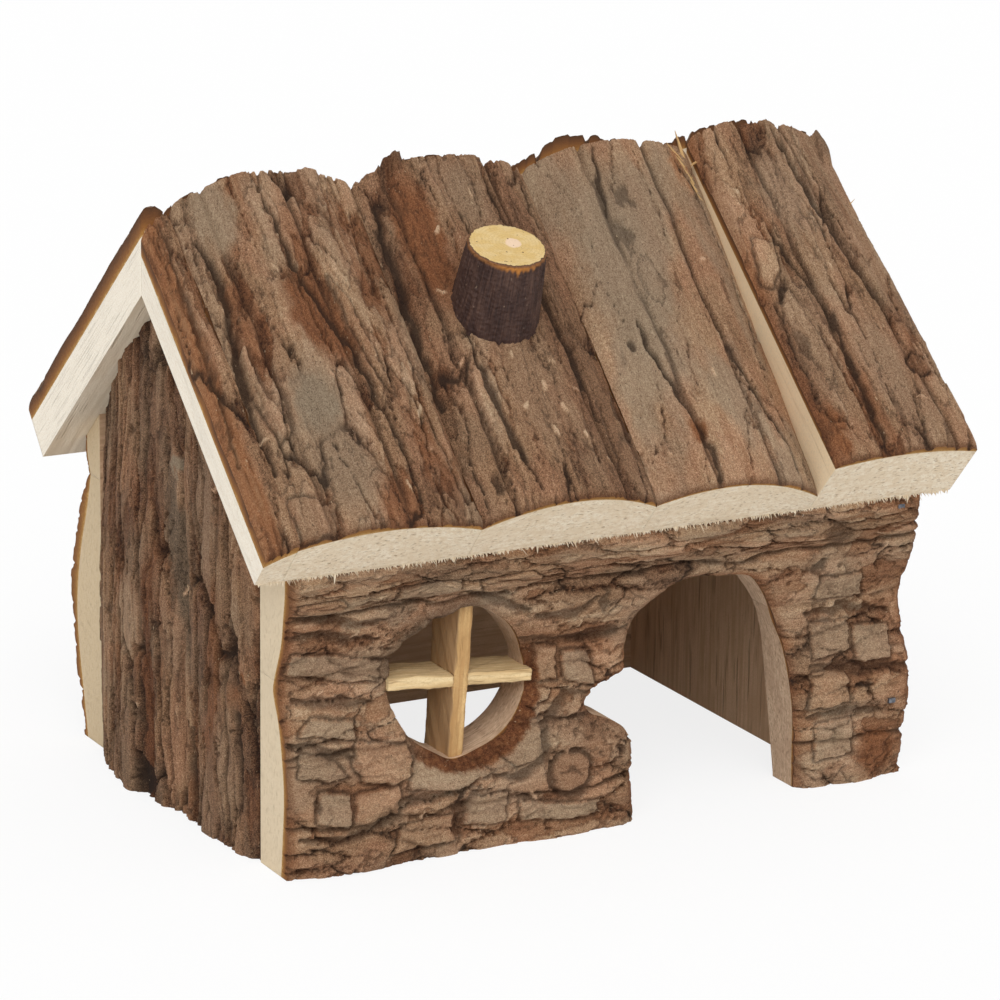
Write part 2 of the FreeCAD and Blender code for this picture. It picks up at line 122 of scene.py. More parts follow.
def cells(x, y, seed, jitter=0.9):
    """Distance gap between the two nearest cell points, and two random numbers of the nearest."""
    ix, iy = np.floor(x), np.floor(y)
    first = np.full(np.shape(x), 9.0)
    second = np.full(np.shape(x), 9.0)
    level, shade = np.zeros(np.shape(x)), np.zeros(np.shape(x))
    for dx in (-1, 0, 1):
        for dy in (-1, 0, 1):
            cx, cy = ix + dx, iy + dy
            px = cx + 0.5 + jitter * (lattice(cx, cy, seed) - 0.5)
            py = cy + 0.5 + jitter * (lattice(cx, cy, seed + 1) - 0.5)
            distance = np.hypot(x - px, y - py)
            nearer = distance < first
            second = np.where(nearer, first, np.minimum(second, distance))
            first = np.where(nearer, distance, first)
            level = np.where(nearer, lattice(cx, cy, seed + 2), level)
            shade = np.where(nearer, lattice(cx, cy, seed + 3), shade)
    return second - first, level, shade


def line_distance(x, y, points):
    """Distance to a run of straight pieces, and the share of the way along it."""
    best, where = np.full(np.shape(x), 1e9), np.zeros(np.shape(x))
    count = len(points) - 1
    for number in range(count):
        (ax, ay), (bx, by) = points[number], points[number + 1]
        length = (bx - ax) ** 2 + (by - ay) ** 2
        share = np.clip(((x - ax) * (bx - ax) + (y - ay) * (by - ay)) / length, 0, 1)
        distance = np.hypot(x - ax - share * (bx - ax), y - ay - share * (by - ay))
        nearer = distance < best
        best = np.where(nearer, distance, best)
        where = np.where(nearer, (number + share) / count, where)
    return best, where


def open_ring(centre, radius, start, stop, count):
    """Points along part of a circle, between two angles in degrees."""
    angles = np.radians(np.linspace(start, stop, count))
    return [(centre[0] + radius * math.cos(a), centre[1] + radius * math.sin(a)) for a in angles]


# Bark relief

# Kinds of bark.  In millimetres: width and length of the plates, step between layers, depth of a
# crack, width of its line and of the crumbly band beside it.  As shares: how broken and how flat
# the face is, its tone, redness and greyness, and where the noise field has its layers.
STYLES = {
    "strips": dict(width=7.5, length=30, step=0.55, crack=1.1, line=0.42, broken=0.55, flat=0.3,
                   tone=0.58, layers=(-0.62, -0.18, 0.42), red=0.75, grey=0.35, band=1.2),
    "streaky": dict(width=6.0, length=42, step=0.32, crack=0.8, line=0.34, broken=0.35, flat=0.3,
                    tone=0.50, layers=(-0.75, -0.35, 0.45), red=0.55, grey=0.25, band=0.9),
    "smooth": dict(width=13, length=46, step=0.28, crack=0.8, line=0.30, broken=0.12, flat=0.6,
                   tone=0.63, layers=(-1.05, -0.72, 0.75), red=0.30, grey=0.6, band=0.4),
    "thick": dict(width=9, length=44, step=0.5, crack=1.2, line=0.36, broken=0.4, flat=0.4,
                  tone=0.58, layers=(-0.72, -0.30, 0.50), red=0.7, grey=0.3, band=0.9),
    "scaly": dict(width=9.0, length=21, step=0.55, crack=0.6, line=0.34, broken=0.6, flat=0.3,
                  tone=0.67, layers=(-0.62, -0.18, 0.40), red=0.5, grey=0.35, band=2.2),
    "furrowed": dict(width=7.5, length=60, step=0.5, crack=1.6, line=0.55, broken=0.6, flat=0.3,
                     tone=0.42, layers=(-0.60, -0.15, 0.45), red=0.55, grey=0.35, band=1.3),
}


def bark_relief(across, along, style, seed):
    """Height offset in millimetres and the colour weights of a bark face.

    Broken layers give crisp ragged steps, and a net of cracks runs between long plates.
    """
    s = STYLES[style]
    bend = 2.6 * fractal(across / 24, along / 55, seed, 3)
    ragged = 0.55 * fractal(across / 1.7, along / 3.1, seed + 10, 3)
    bent_across = across + bend + 0.9 * fractal(across / 6, along / 14, seed + 15, 2) + ragged
    bent_along = along + 5 * fractal(across / 8, along / 18, seed + 20, 3)
    gap, level, shade = cells(bent_across / s["width"], bent_along / s["length"], seed + 30)
    gap = gap * s["width"]
    field = fractal(across / (1.5 * s["width"]), along / (1.1 * s["length"]), seed + 60, 6)
    field = field + 0.35 * (level - 0.5)
    height, dark, torn = 0.0, 0.0, 0.0
    for limit in s["layers"]:
        above = smooth(field, limit - 0.03, limit + 0.03)
        below = np.clip((limit - field) / 0.11, 0, 1)
        height = height + s["step"] * above
        # painted shadow line along the foot of each step
        dark = np.maximum(dark, 0.62 * (1 - below) * (field < limit))
        torn = torn + above
    torn = torn / len(s["layers"])
    opening = smooth(fractal(across / 15, along / 40, seed + 50, 4),
                     0.35 - s["broken"], 0.75 - s["broken"])
    fine = fractal(across / 0.9, along / 1.5, seed + 80, 3)
    width = s["line"] * (0.7 + 0.9 * np.clip(fractal(across / 7, along / 12, seed + 55, 2), 0, 1))
    crack = (1 - smooth(gap, 0.3 * width, 1.5 * width)) * opening
    cross_gap, _, _ = cells(bent_across / s["width"] * 0.9 + 3,
                            bent_along / s["length"] * 2.4, seed + 40)
    short = smooth(fractal(across / 8, along / 13, seed + 45, 3), 0.25, 0.45) * s["broken"]
    crack = np.maximum(crack, (1 - smooth(cross_gap * s["width"], 0.1, 0.75)) * short)
    lip = np.exp(-(gap / 1.6) ** 2) * opening
    crumb = fractal(across / 0.8, along / 1.3, seed + 130, 3)
    wide = s["band"] * np.clip(0.75 + 0.9 * fractal(across / 6, along / 12, seed + 135, 3), 0.1, 2)
    band = 1 - smooth(gap + 0.35 * crumb, 0.45 * wide, 1.0 * wide)
    band = band * smooth(fractal(across / 12, along / 25, seed + 140, 3), -0.7, 0.1)
    fibre = fractal(across / 0.8, along / 9, seed + 70, 3)
    rough = 0.10 + 0.16 * (1 - torn) * (1 - s["flat"])
    height = (height - s["step"] * 1.5 + 0.5 * s["step"] * (level - 0.5) * opening
              - s["crack"] * crack - 0.35 * lip + rough * (0.7 * fine + 0.8 * fibre)
              - band * (0.55 - 0.42 * crumb)
              + 0.35 * fractal(across / 13, along / 26, seed + 90, 2))
    tone = (s["tone"] + 0.26 * (torn - 0.55) + 0.20 * (shade - 0.5) * (0.4 + 0.6 * opening)
            + 0.14 * fractal(across / 19, along / 45, seed + 100, 3) + 0.06 * fibre + 0.05 * fine
            - band * (0.12 - 0.14 * crumb))
    red = s["red"] * smooth(0.75 * fractal(across / 9, along / 34, seed + 110, 4)
                            + 1.1 * (0.5 - torn) + 0.5 * band, 0.0, 0.55)
    grey = s["grey"] * smooth(fractal(across / 17, along / 36, seed + 120, 4) + 0.6 * (torn - 0.5),
                              -0.2, 0.5)
    # painted shade: darker where the crumbly band sinks deepest, and inside the cracks
    dark = np.maximum(dark, 0.75 * band * smooth(-crumb, 0.0, 0.7))
    dark = np.clip(np.maximum(dark, crack), 0, 1)
    return height, tone, red, dark, grey


# Millimetres
FURROW_DEPTH = 1.6
FURROW_WIDTH = 3.4


class Face:
    """The heights and colour weights of one slab's bark, open to features given one by one."""

    def __init__(self, across, along, style, seed):
        self.across, self.along, self.seed = across, along, seed
        self.height, self.tone, self.red, self.dark, self.grey = bark_relief(
            across, along, style, seed)
        self.gold = np.zeros(np.shape(across))

    def wander(self, size=1.0):
        """The face's own coordinates shaken a little, so that drawn shapes get broken edges."""
        return (self.across + size * fractal(self.across / 3, self.along / 5, self.seed + 7, 3),
                self.along + size * fractal(self.across / 3, self.along / 5, self.seed + 8, 3))

    def furrow(self, place, wander=1.0):
        """A long valley between bark plates, with ragged lips and painted shade on its floor."""
        x = self.across + wander * fractal(self.across / 8, self.along / 15, self.seed + 200, 4)
        valley = np.clip(1 - np.abs(x - place) / (FURROW_WIDTH / 2), 0, 1)
        patchy = smooth(fractal(self.across / 30, self.along / 14, self.seed + 210, 3), -0.9, 0.1)
        floor = smooth(valley, 0.45, 1.0)
        self.height = self.height - FURROW_DEPTH * (0.35 * valley + 0.65 * floor)
        # painted shade on the valley floor, and a lower tone across the valley
        self.dark = np.maximum(self.dark, 0.72 * smooth(valley, 0.35, 1.0) * patchy)
        self.tone = self.tone - 0.10 * valley

    def crack(self, points, width=0.7, depth=1.6, dark=0.95):
        """A split along a line, widest in its middle, with painted shade inside it."""
        x, y = self.wander(0.8)
        distance, share = line_distance(x, y, points)
        wide = width * (0.35 + 0.65 * np.sin(math.pi * np.clip(share, 0.02, 0.98)))
        inside = 1 - smooth(distance, 0.45 * wide, 1.5 * wide)
        self.height = self.height - depth * inside
        # painted shade inside the split
        self.dark = np.maximum(self.dark, dark * inside)

    def patch(self, centre, radii, turn=0.0, edge=0.35, raised=0.0, flat=0.0, shake=1.6, **weights):
        """An oval area that is raised or sunk and coloured.  A weight given is the new value."""
        x, y = self.wander(shake)
        c, s = math.cos(math.radians(turn)), math.sin(math.radians(turn))
        dx, dy = x - centre[0], y - centre[1]
        radius = np.hypot((c * dx + s * dy) / radii[0], (-s * dx + c * dy) / radii[1])
        inside = 1 - smooth(radius, 1 - edge, 1 + edge)
        calm = np.median(self.height)
        self.height = self.height + inside * (raised + flat * (calm - self.height))
        self.blend(inside, weights)

    def flake(self, corners, thick=1.0, **weights):
        """A crisp raised plate inside a polygon, with a painted shadow round its foot."""
        x, y = self.wander(0.5)
        inside = polygon_inside(x, y, corners)
        distance, _ = line_distance(x, y, corners + corners[:1])
        step = np.where(inside, smooth(distance, 0, 0.5), 0.0)
        # rim: painted shadow just outside the plate
        rim = np.where(inside, 0.0, 1 - smooth(distance, 0.2, 1.3))
        self.height = self.height + step * thick - 0.5 * thick * rim
        self.dark = np.maximum(self.dark * (1 - 0.7 * step), 0.75 * rim)
        self.blend(step, weights)

    def blend(self, share, weights):
        """Bring the named weights to new values where share is 1."""
        for name, value in weights.items():
            old = getattr(self, name)
            setattr(self, name, old + share * (value - old))

    def raise_weight(self, name, value):
        """Bring a weight up to a value where it is lower."""
        setattr(self, name, np.maximum(getattr(self, name), value))


def polygon_inside(x, y, corners):
    """Whether each place lies inside a polygon."""
    inside = np.zeros(np.shape(x), bool)
    for number in range(len(corners)):
        (ax, ay), (bx, by) = corners[number - 1], corners[number]
        if ay == by:
            continue
        inside ^= ((ay > y) != (by > y)) & (x < (bx - ax) * (y - ay) / (by - ay) + ax)
    return inside


# Slab meshes


def crown(left, right, rise, share):
    """Thickness of a half-log slab at a share of the way across it."""
    return left + (right - left) * share + 4 * rise * share * (1 - share)


def share_across(u):
    """Share of the way across a slab, and the distance to its nearer side."""
    low, high = u[0, 0], u[-1, 0]
    return (u - low) / (high - low), np.minimum(u - low, high - u)


def grid_axis(low, high, spacing):
    """Evenly spaced grid lines from one end to the other."""
    return np.linspace(low, high, max(2, int(round((high - low) / spacing)) + 1))


def snap_to(points, outlines):
    """The nearest place on any outline for each point."""
    best = np.full(len(points), 1e9)
    result = points.copy()
    for outline in outlines:
        for number in range(len(outline)):
            a, b = np.array(outline[number - 1]), np.array(outline[number])
            along = b - a
            share = np.clip(((points - a) @ along) / max(along @ along, 1e-9), 0, 1)
            spot = a + share[:, None] * along
            distance = np.hypot(*(points - spot).T)
            nearer = distance < best
            best = np.where(nearer, distance, best)
            result[nearer] = spot[nearer]
    return result


def boundary_walk(edges):
    """Closed loops from directed edges."""
    following = {}
    for a, b in edges:
        following.setdefault(a, []).append(b)
    loops = []
    while following:
        start = next(iter(following))
        loop, here = [start], following[start].pop()
        if not following[start]:
            del following[start]
        while here != start:
            loop.append(here)
            options = following[here]
            step = options.pop()
            if not options:
                del following[here]
            here = step
        loops.append(loop)
    return loops


def cut_grid(u_axis, v_axis, holes):
    """The grid of a slab, its cells outside the holes, and the points that those cells use.

    Points beside a hole are moved onto its outline.
    """
    u, v = np.meshgrid(u_axis, v_axis, indexing="ij")
    centre_u = (u[1:, 1:] + u[:-1, :-1]) / 2
    centre_v = (v[1:, 1:] + v[:-1, :-1]) / 2
    keep = np.ones(centre_u.shape, bool)
    for hole in holes:
        keep &= ~polygon_inside(centre_u, centre_v, hole)
    used, missing = np.zeros(u.shape, bool), np.zeros(u.shape, bool)
    for dx in (0, 1):
        for dy in (0, 1):
            piece = (slice(dx, dx + keep.shape[0]), slice(dy, dy + keep.shape[1]))
            used[piece] |= keep
            missing[piece] |= ~keep
    beside = used & missing
    if beside.any():
        snapped = snap_to(np.stack([u[beside], v[beside]], 1), holes)
        for axis, line, moved in ((u_axis, u, snapped[:, 0]), (v_axis, v, snapped[:, 1])):
            on_side = (line[beside] == axis[0]) | (line[beside] == axis[-1])
            line[beside] = np.where(on_side, line[beside], moved)
    return u, v, keep, used


THINNEST_BARK = 0.25
# Rows of faces down the sawn sides
SIDE_ROWS = 7
# Gap to a hole where there is none, and the gap up to which a side counts as a hole's
NO_HOLE, REVEAL_REACH = 99.0, 0.7
# The wood's pattern runs from 0 at the inner plane to this at the bark, whatever the thickness
PATTERN_DEPTH = 12


def slab_mesh(name, node, u_axis, v_axis, top, place, materials, grain="v", holes=(), far=None):
    """One closed slab.

    top(u, v, border, hole_gap) gives the bark surface, the wood surface below it, and a Face.
    place(u, v, h) gives the millimetre position at a height above the inner plane.
    far(u) gives the upper end of v where the outline isn't a rectangle.
    """
    u, v, keep, used = cut_grid(u_axis, v_axis, holes)
    end = v_axis[-1]
    if far is not None:
        share = (v - v_axis[0]) / (v_axis[-1] - v_axis[0])
        end = far(u)
        v = v_axis[0] + share * (end - v_axis[0])
    border = np.minimum.reduce([u - u_axis[0], u_axis[-1] - u, v - v_axis[0], end - v])
    hole_gap = np.full(u.shape, NO_HOLE)
    for hole in holes:
        hole_gap = np.minimum(hole_gap, line_distance(u, v, list(hole) + [hole[0]])[0])
    surface, wood, face = top(u, v, border, hole_gap)
    surface = np.maximum(surface, wood + THINNEST_BARK)

    # bark face, and the directed edges round it
    count = int(used.sum())
    number = -np.ones(u.shape, int)
    number[used] = np.arange(count)
    quads = np.stack([number[:-1, :-1][keep], number[1:, :-1][keep],
                      number[1:, 1:][keep], number[:-1, 1:][keep]], 1)
    pairs = np.concatenate([quads[:, [i, (i + 1) % 4]] for i in range(4)])
    ahead, back = pairs[:, 0] * count + pairs[:, 1], pairs[:, 1] * count + pairs[:, 0]
    outer = pairs[~np.isin(ahead, back)]
    edge = np.unique(outer)
    column = {point: index for index, point in enumerate(edge)}

    def with_sides(values):
        """Values of the bark face, then those at its edge once for each row of the sides."""
        return np.concatenate([values[used]] + [values[used][edge]] * (SIDE_ROWS + 1))

    all_u, all_v, all_wood = with_sides(u), with_sides(v), with_sides(wood)
    all_h = np.concatenate([surface[used]] + [wood[used][edge] * (1 - row / SIDE_ROWS)
                                              for row in range(SIDE_ROWS + 1)])
    # cut edge of the bark, then the sawn sides row by row
    faces, kinds = [quads], [np.full(len(quads), BARK)]
    start, stop = (np.array([column[point] for point in line]) for line in outer.T)
    upper_a, upper_b = outer.T
    # sides along the doorway and window take a darker copy of the sawn wood: painted shade
    beside = hole_gap[used] < REVEAL_REACH
    at_hole = beside[upper_a] & beside[upper_b]
    for row in range(SIDE_ROWS + 1):
        lower_a, lower_b = (count + row * len(edge) + line for line in (start, stop))
        faces.append(np.stack([upper_b, upper_a, lower_a, lower_b], 1))
        kinds.append(np.where(at_hole, REVEAL, WOOD) if row else np.full(len(outer), RIM))
        upper_a, upper_b = lower_a, lower_b
    last = count + SIDE_ROWS * len(edge)
    loops = boundary_walk(outer.tolist())
    flat_u, flat_v = u[used], v[used]
    order = [point for loop in loops for point in loop]
    triangles = [[last + column[order[i]] for i in triangle] for triangle in tessellate_polygon(
        [[Vector((flat_u[point], flat_v[point], 0)) for point in loop] for loop in loops])]

    # every face looks outward, away from the inner plane
    corners = np.stack(place(all_u, all_v, all_h), 1) * MM
    polygons = [quad for part in faces for quad in part.tolist()]
    outward = np.stack(place(flat_u[:1], flat_v[:1], all_h[:1] + 1), 1)[0] * MM - corners[0]

    def looks_out(polygon):
        a, b, c = (corners[point] for point in polygon[:3])
        return np.dot(np.cross(b - a, c - a), outward)

    if looks_out(polygons[0]) < 0:
        polygons = [polygon[::-1] for polygon in polygons]
    inner = []
    for triangle in triangles:
        a, b, c = (corners[point] for point in triangle)
        flat = np.linalg.norm(np.cross(b - a, c - a)) < 1e-14
        inner.append(triangle if flat or looks_out(triangle) < 0 else triangle[::-1])
    mesh = bpy.data.meshes.new(name)
    mesh.from_pydata(corners.tolist(), [], polygons + inner)
    mesh.polygons.foreach_set("material_index", np.concatenate(
        kinds + [np.full(len(inner), INNER)]).astype(np.int32))
    mesh.polygons.foreach_set("use_smooth", np.arange(len(polygons) + len(inner)) < len(polygons))
    hard = {(min(a, b), max(a, b)) for a, b in outer.tolist()}
    hard |= {(last + min(a, b), last + max(a, b)) for a, b in zip(start.tolist(), stop.tolist())}
    ends = np.empty(len(mesh.edges) * 2, np.int32)
    mesh.edges.foreach_get("vertices", ends)
    sharp = np.array([(min(a, b), max(a, b)) in hard for a, b in ends.reshape(-1, 2).tolist()])
    mesh.attributes.new("sharp_edge", "BOOLEAN", "EDGE").data.foreach_set("value", sharp)

    on_bark = np.arange(len(corners)) < count
    sunk = (all_wood - PATTERN_DEPTH) * np.clip(all_h / np.maximum(all_wood, 1), 0, 1)
    across, along = (all_u, all_v) if grain == "v" else (all_v, all_u)
    # each slab takes its pattern from another place
    offset = (sum(map(ord, name)) % 97) * 13.0
    store(mesh, "local", "FLOAT_VECTOR",
          np.stack([across + offset, along, np.where(on_bark, all_h, all_h - sunk)], 1))
    weights = np.zeros((len(corners), 4))
    weights[:, 0] = 0.5
    weights[:count] = np.stack([face.tone[used], face.red[used], face.dark[used],
                                face.grey[used]], 1)
    store(mesh, "weights", "FLOAT_COLOR", np.clip(weights, 0, 1))
    gold = np.ones(len(corners))
    gold[:count] = face.gold[used]
    store(mesh, "gold", "FLOAT", np.clip(gold, 0, 1))
    finish_piece(name, mesh, materials, [node])


def store(mesh, name, kind, values):
    """Keep one value for each point of a mesh."""
    field = {"FLOAT_VECTOR": "vector", "FLOAT_COLOR": "color", "FLOAT": "value"}[kind]
    attribute = mesh.attributes.new(name, kind, "POINT")
    attribute.data.foreach_set(field, np.asarray(values, np.float32).ravel())


def turn_outward(mesh):
    """Make every face of a closed mesh look outward."""
    work = bmesh.new()
    work.from_mesh(mesh)
    bmesh.ops.recalc_face_normals(work, faces=work.faces)
    work.to_mesh(mesh)
    work.free()


def closed_mesh(name, corners, polygons, local, gold=None, kinds=None, smooth_faces=True):
    """A mesh from millimetre corners, with its faces looking outward."""
    mesh = bpy.data.meshes.new(name)
    mesh.from_pydata((np.array(corners) * MM).tolist(), [], polygons)
    mesh.polygons.foreach_set("use_smooth", np.full(len(polygons), smooth_faces))
    if kinds is not None:
        mesh.polygons.foreach_set("material_index", np.array(kinds, np.int32))
    turn_outward(mesh)
    store(mesh, "local", "FLOAT_VECTOR", np.array(local))
    if gold is not None:
        store(mesh, "gold", "FLOAT", np.array(gold))
    return mesh


def tube_faces(count, rings, first=0):
    """Quads between rings of count points that follow one another."""
    return [(a + i, a + count + i, a + count + (i + 1) % count, a + (i + 1) % count)
            for a in range(first, first + (rings - 1) * count, count) for i in range(count)]


def finish_piece(name, mesh, materials, nodes):
    """Link a mesh as a piece that rides on the house and stands for its CAD nodes."""
    for material in materials:
        mesh.materials.append(material)
    piece = bpy.data.objects.new(name, mesh)
    bpy.context.scene.collection.objects.link(piece)
    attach(piece, "root")
    if nodes:
        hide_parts(*nodes)


# Materials


class Nodes:
    """Short calls for building a node tree."""

    def __init__(self, tree):
        self.tree = tree

    def node(self, kind, **settings):
        made = self.tree.nodes.new(kind)
        for key, value in settings.items():
            setattr(made, key, value)
        return made

    def link(self, source, target):
        if isinstance(source, (int, float)):
            target.default_value = source
        elif isinstance(source, tuple):
            target.default_value = (*source, 1.0)
        else:
            self.tree.links.new(source, target)

    def math(self, operation, first, second=0.0, third=0.0):
        made = self.node("ShaderNodeMath", operation=operation)
        for value, socket in zip((first, second, third), made.inputs):
            self.link(value, socket)
        return made.outputs[0]

    def spread(self, value, low, high, to_low=0.0, to_high=1.0):
        made = self.node("ShaderNodeMapRange", interpolation_type="SMOOTHSTEP")
        for given, socket in zip((value, low, high, to_low, to_high), made.inputs):
            self.link(given, socket)
        return made.outputs[0]

    def mix(self, share, first, second, blend="MIX"):
        made = self.node("ShaderNodeMix", data_type="RGBA", blend_type=blend)
        self.link(share, made.inputs[0])
        self.link(first, made.inputs[6])
        self.link(second, made.inputs[7])
        return made.outputs[2]

    def ramp(self, value, stops):
        made = self.node("ShaderNodeValToRGB")
        elements = made.color_ramp.elements
        while len(elements) < len(stops):
            elements.new(0.5)
        for element, (place, colour) in zip(elements, stops):
            element.position = place
            element.color = (*colour, 1.0)
        self.link(value, made.inputs[0])
        return made.outputs[0]

    def seen(self):
        """1 for rays from the camera, straight or by way of metal or glass."""
        rays = self.node("ShaderNodeLightPath").outputs
        indirect = self.math("MAXIMUM", rays["Is Glossy Ray"], rays["Is Transmission Ray"])
        return self.math("MAXIMUM", rays["Is Camera Ray"], indirect)


class Shader(Nodes):
    """A material; its noise lies on the mesh's own pattern, or else in the object's space."""

    def __init__(self, name, roughness=0.85, specular=0.25, patterned=True):
        self.material = bpy.data.materials.new(name)
        self.material.use_nodes = True
        super().__init__(self.material.node_tree)
        self.surface = self.tree.nodes["Principled BSDF"]
        self.surface.inputs["Roughness"].default_value = roughness
        self.surface.inputs["Specular IOR Level"].default_value = specular
        self.local = (self.attribute("local").outputs["Vector"] if patterned
                      else self.node("ShaderNodeTexCoord").outputs["Object"])

    def attribute(self, name):
        return self.node("ShaderNodeAttribute", attribute_name=name)

    def grain(self, scale, detail=4, rough=0.6, shift=(0, 0, 0)):
        """Noise with its own fineness along each direction of the pattern."""
        mapping = self.node("ShaderNodeMapping")
        self.link(self.local, mapping.inputs["Vector"])
        mapping.inputs["Scale"].default_value = scale
        mapping.inputs["Location"].default_value = shift
        made = self.node("ShaderNodeTexNoise")
        self.link(mapping.outputs[0], made.inputs["Vector"])
        for socket, value in (("Scale", 1), ("Detail", detail), ("Roughness", rough)):
            made.inputs[socket].default_value = value
        return made.outputs["Fac"]

    def stir(self, value, noise, amount):
        """The value, moved up and down by noise."""
        return self.math("ADD", value, self.math("MULTIPLY_ADD", noise, amount, -amount / 2))

    def distance(self, centre):
        """Distance from a place in the pattern."""
        offset = self.node("ShaderNodeVectorMath", operation="SUBTRACT")
        self.link(self.local, offset.inputs[0])
        offset.inputs[1].default_value = centre
        length = self.node("ShaderNodeVectorMath", operation="LENGTH")
        self.link(offset.outputs[0], length.inputs[0])
        return length.outputs["Value"]

    def finish(self, colour, height=None, depth=0.0, strength=1.0):
        """The material with its colour, and a bump of some depth in metres."""
        self.link(colour, self.surface.inputs["Base Color"])
        if height is not None:
            bump = self.node("ShaderNodeBump")
            bump.inputs["Distance"].default_value = depth
            bump.inputs["Strength"].default_value = strength
            self.link(height, bump.inputs["Height"])
            self.link(bump.outputs[0], self.surface.inputs["Normal"])
        return self.material


def rgb(red, green, blue):
    """Linear colour from the 0 to 255 values that a screen shows."""
    def linear(value):
        share = value / 255
        return share / 12.92 if share <= 0.04045 else ((share + 0.055) / 1.055) ** 2.4
    return linear(red), linear(green), linear(blue)


def bark_material():
    """Bark by the weights of its face: tone, redness, darkness, greyness and scraped gold."""
    s = Shader("bark")
    weights = s.attribute("weights")
    split = s.node("ShaderNodeSeparateColor")
    s.link(weights.outputs["Color"], split.inputs[0])
    tone, red, dark = split.outputs[:3]
    streak = s.grain((0.9, 0.09, 0.4), detail=6, rough=0.65)
    speck = s.grain((1.5, 1.1, 1.3), detail=6, rough=0.85)
    grit = s.grain((3.4, 2.6, 3.0), rough=0.8, shift=(9, 2, 4))
    blotch = s.grain((0.11, 0.05, 0.1), shift=(7, 3, 1))
    level = s.stir(s.stir(s.stir(tone, streak, 0.42), speck, 0.9), grit, 1.8)
    colour = s.ramp(level, [
        (0.00, rgb(52, 34, 22)), (0.22, rgb(98, 69, 48)), (0.42, rgb(142, 106, 77)),
        (0.60, rgb(174, 134, 100)), (0.80, rgb(200, 162, 126)), (1.00, rgb(232, 202, 166))])
    pink = s.mix(s.spread(blotch, 0.42, 0.62), colour, (1.05, 0.93, 0.92), blend="MULTIPLY")
    colour = s.mix(0.8, colour, pink)
    reddish = s.ramp(level, [(0, rgb(60, 30, 16)), (0.45, rgb(134, 82, 50)),
                             (0.8, rgb(172, 116, 76)), (1, rgb(196, 144, 102))])
    greyish = s.ramp(level, [(0, rgb(66, 55, 44)), (0.5, rgb(146, 124, 100)),
                             (1, rgb(196, 176, 148))])
    golden = s.ramp(s.stir(speck, streak, 0.6), [
        (0.25, rgb(74, 42, 22)), (0.55, rgb(112, 68, 38)), (0.85, rgb(148, 100, 60))])
    # the darkness weight brings in near-black brown: painted shade in cracks, furrows, holes,
    # crumbly bands and below steps
    for share, other in ((red, reddish), (weights.outputs["Alpha"], greyish),
                         (s.attribute("gold").outputs["Fac"], golden),
                         (s.math("MULTIPLY", dark, 0.86), rgb(40, 27, 19))):
        colour = s.mix(share, colour, other)
    chips = s.grain((1.3, 0.6, 1.2), detail=2, shift=(1, 6, 2))
    colour = s.mix(s.spread(chips, 0.70, 0.76, 0, 0.7), colour, rgb(214, 186, 150))
    pits = s.grain((1.9, 1.2, 1.8), detail=2, shift=(6, 1, 3))
    colour = s.mix(s.spread(pits, 0.66, 0.72, 0, 0.7), colour, rgb(50, 34, 24))
    bumps = s.math("ADD", s.math("MULTIPLY", streak, 0.4), s.math("ADD", speck, grit))
    return s.finish(colour, bumps, 0.0006)


def rim_material():
    """Cut edge of the bark: dark outside and golden where it meets the wood."""
    s = Shader("bark_cut_edge")
    speck = s.grain((1.6, 0.9, 2.4), detail=5, rough=0.7)
    layer = s.grain((0.5, 0.3, 3.5), detail=3, shift=(3, 0, 0))
    level = s.stir(s.stir(s.attribute("gold").outputs["Fac"], speck, 0.5), layer, 0.3)
    colour = s.ramp(level, [
        (0, rgb(84, 56, 36)), (0.35, rgb(112, 72, 42)), (0.7, rgb(142, 94, 50)),
        (0.93, rgb(172, 126, 66)), (1, rgb(206, 168, 112))])
    return s.finish(colour, speck, 0.0004, 0.9)


def wood_material(name, light, mid, line, flecks, side):
    """Sawn wood: streaks along the grain and dark dashes where the cut crosses it."""
    s = Shader(name, roughness=0.75)
    light, mid, line = rgb(*light), rgb(*mid), rgb(*line)
    streak = s.grain((0.8, 0.03, 1.3), rough=0.55)
    wide = s.grain((0.09, 0.02, 0.16), detail=2, shift=(2, 5, 0))
    colour = s.mix(s.spread(streak, 0.35, 0.68), light, mid)
    colour = s.mix(s.spread(wide, 0.4, 0.7, 0, 0.5), colour, mid)
    dash = s.grain((0.55, 0.035, 3.0), detail=2, shift=(1, 9, 4))
    pore = s.grain((1.6, 0.06, 5.0), detail=2, rough=0.7, shift=(5, 1, 0))
    mark = s.math("MAXIMUM", s.spread(dash, 0.60, 0.68), s.spread(pore, 0.64, 0.72, 0, 0.9))
    colour = s.mix(s.math("MULTIPLY", mark, flecks), colour, line)
    ring = s.grain((0.05, 0.03, 1.7), detail=3, shift=(8, 2, 1))
    colour = s.mix(s.spread(ring, 0.50, 0.60, 0, 0.55), colour, mid)
    # of the gable strips and roof slabs, darker on the back wall's ends and the upright's sides
    # painted light and shade: faces that look sideways take their own colour, lighter on the ends
    if side is not None:
        split = s.node("ShaderNodeSeparateXYZ")
        s.link(s.node("ShaderNodeNewGeometry").outputs["Normal"], split.inputs[0])
        facing = s.math("ABSOLUTE", split.outputs["X"])
        colour = s.mix(s.spread(facing, 0.6, 0.9, 0, 0.85), colour, rgb(*side))
    fuzz = s.grain((1.3, 0.5, 2.0), detail=6, rough=0.75)
    nap = s.grain((2.6, 1.4, 3.2), rough=0.8, shift=(2, 7, 5))
    colour = s.mix(s.spread(nap, 0.46, 0.66, 0, 0.6), colour, mid)
    height = s.math("SUBTRACT", s.math("MULTIPLY", fuzz, 0.8), s.math("MULTIPLY", mark, 0.7))
    return s.finish(colour, height, 0.0004, 0.7)


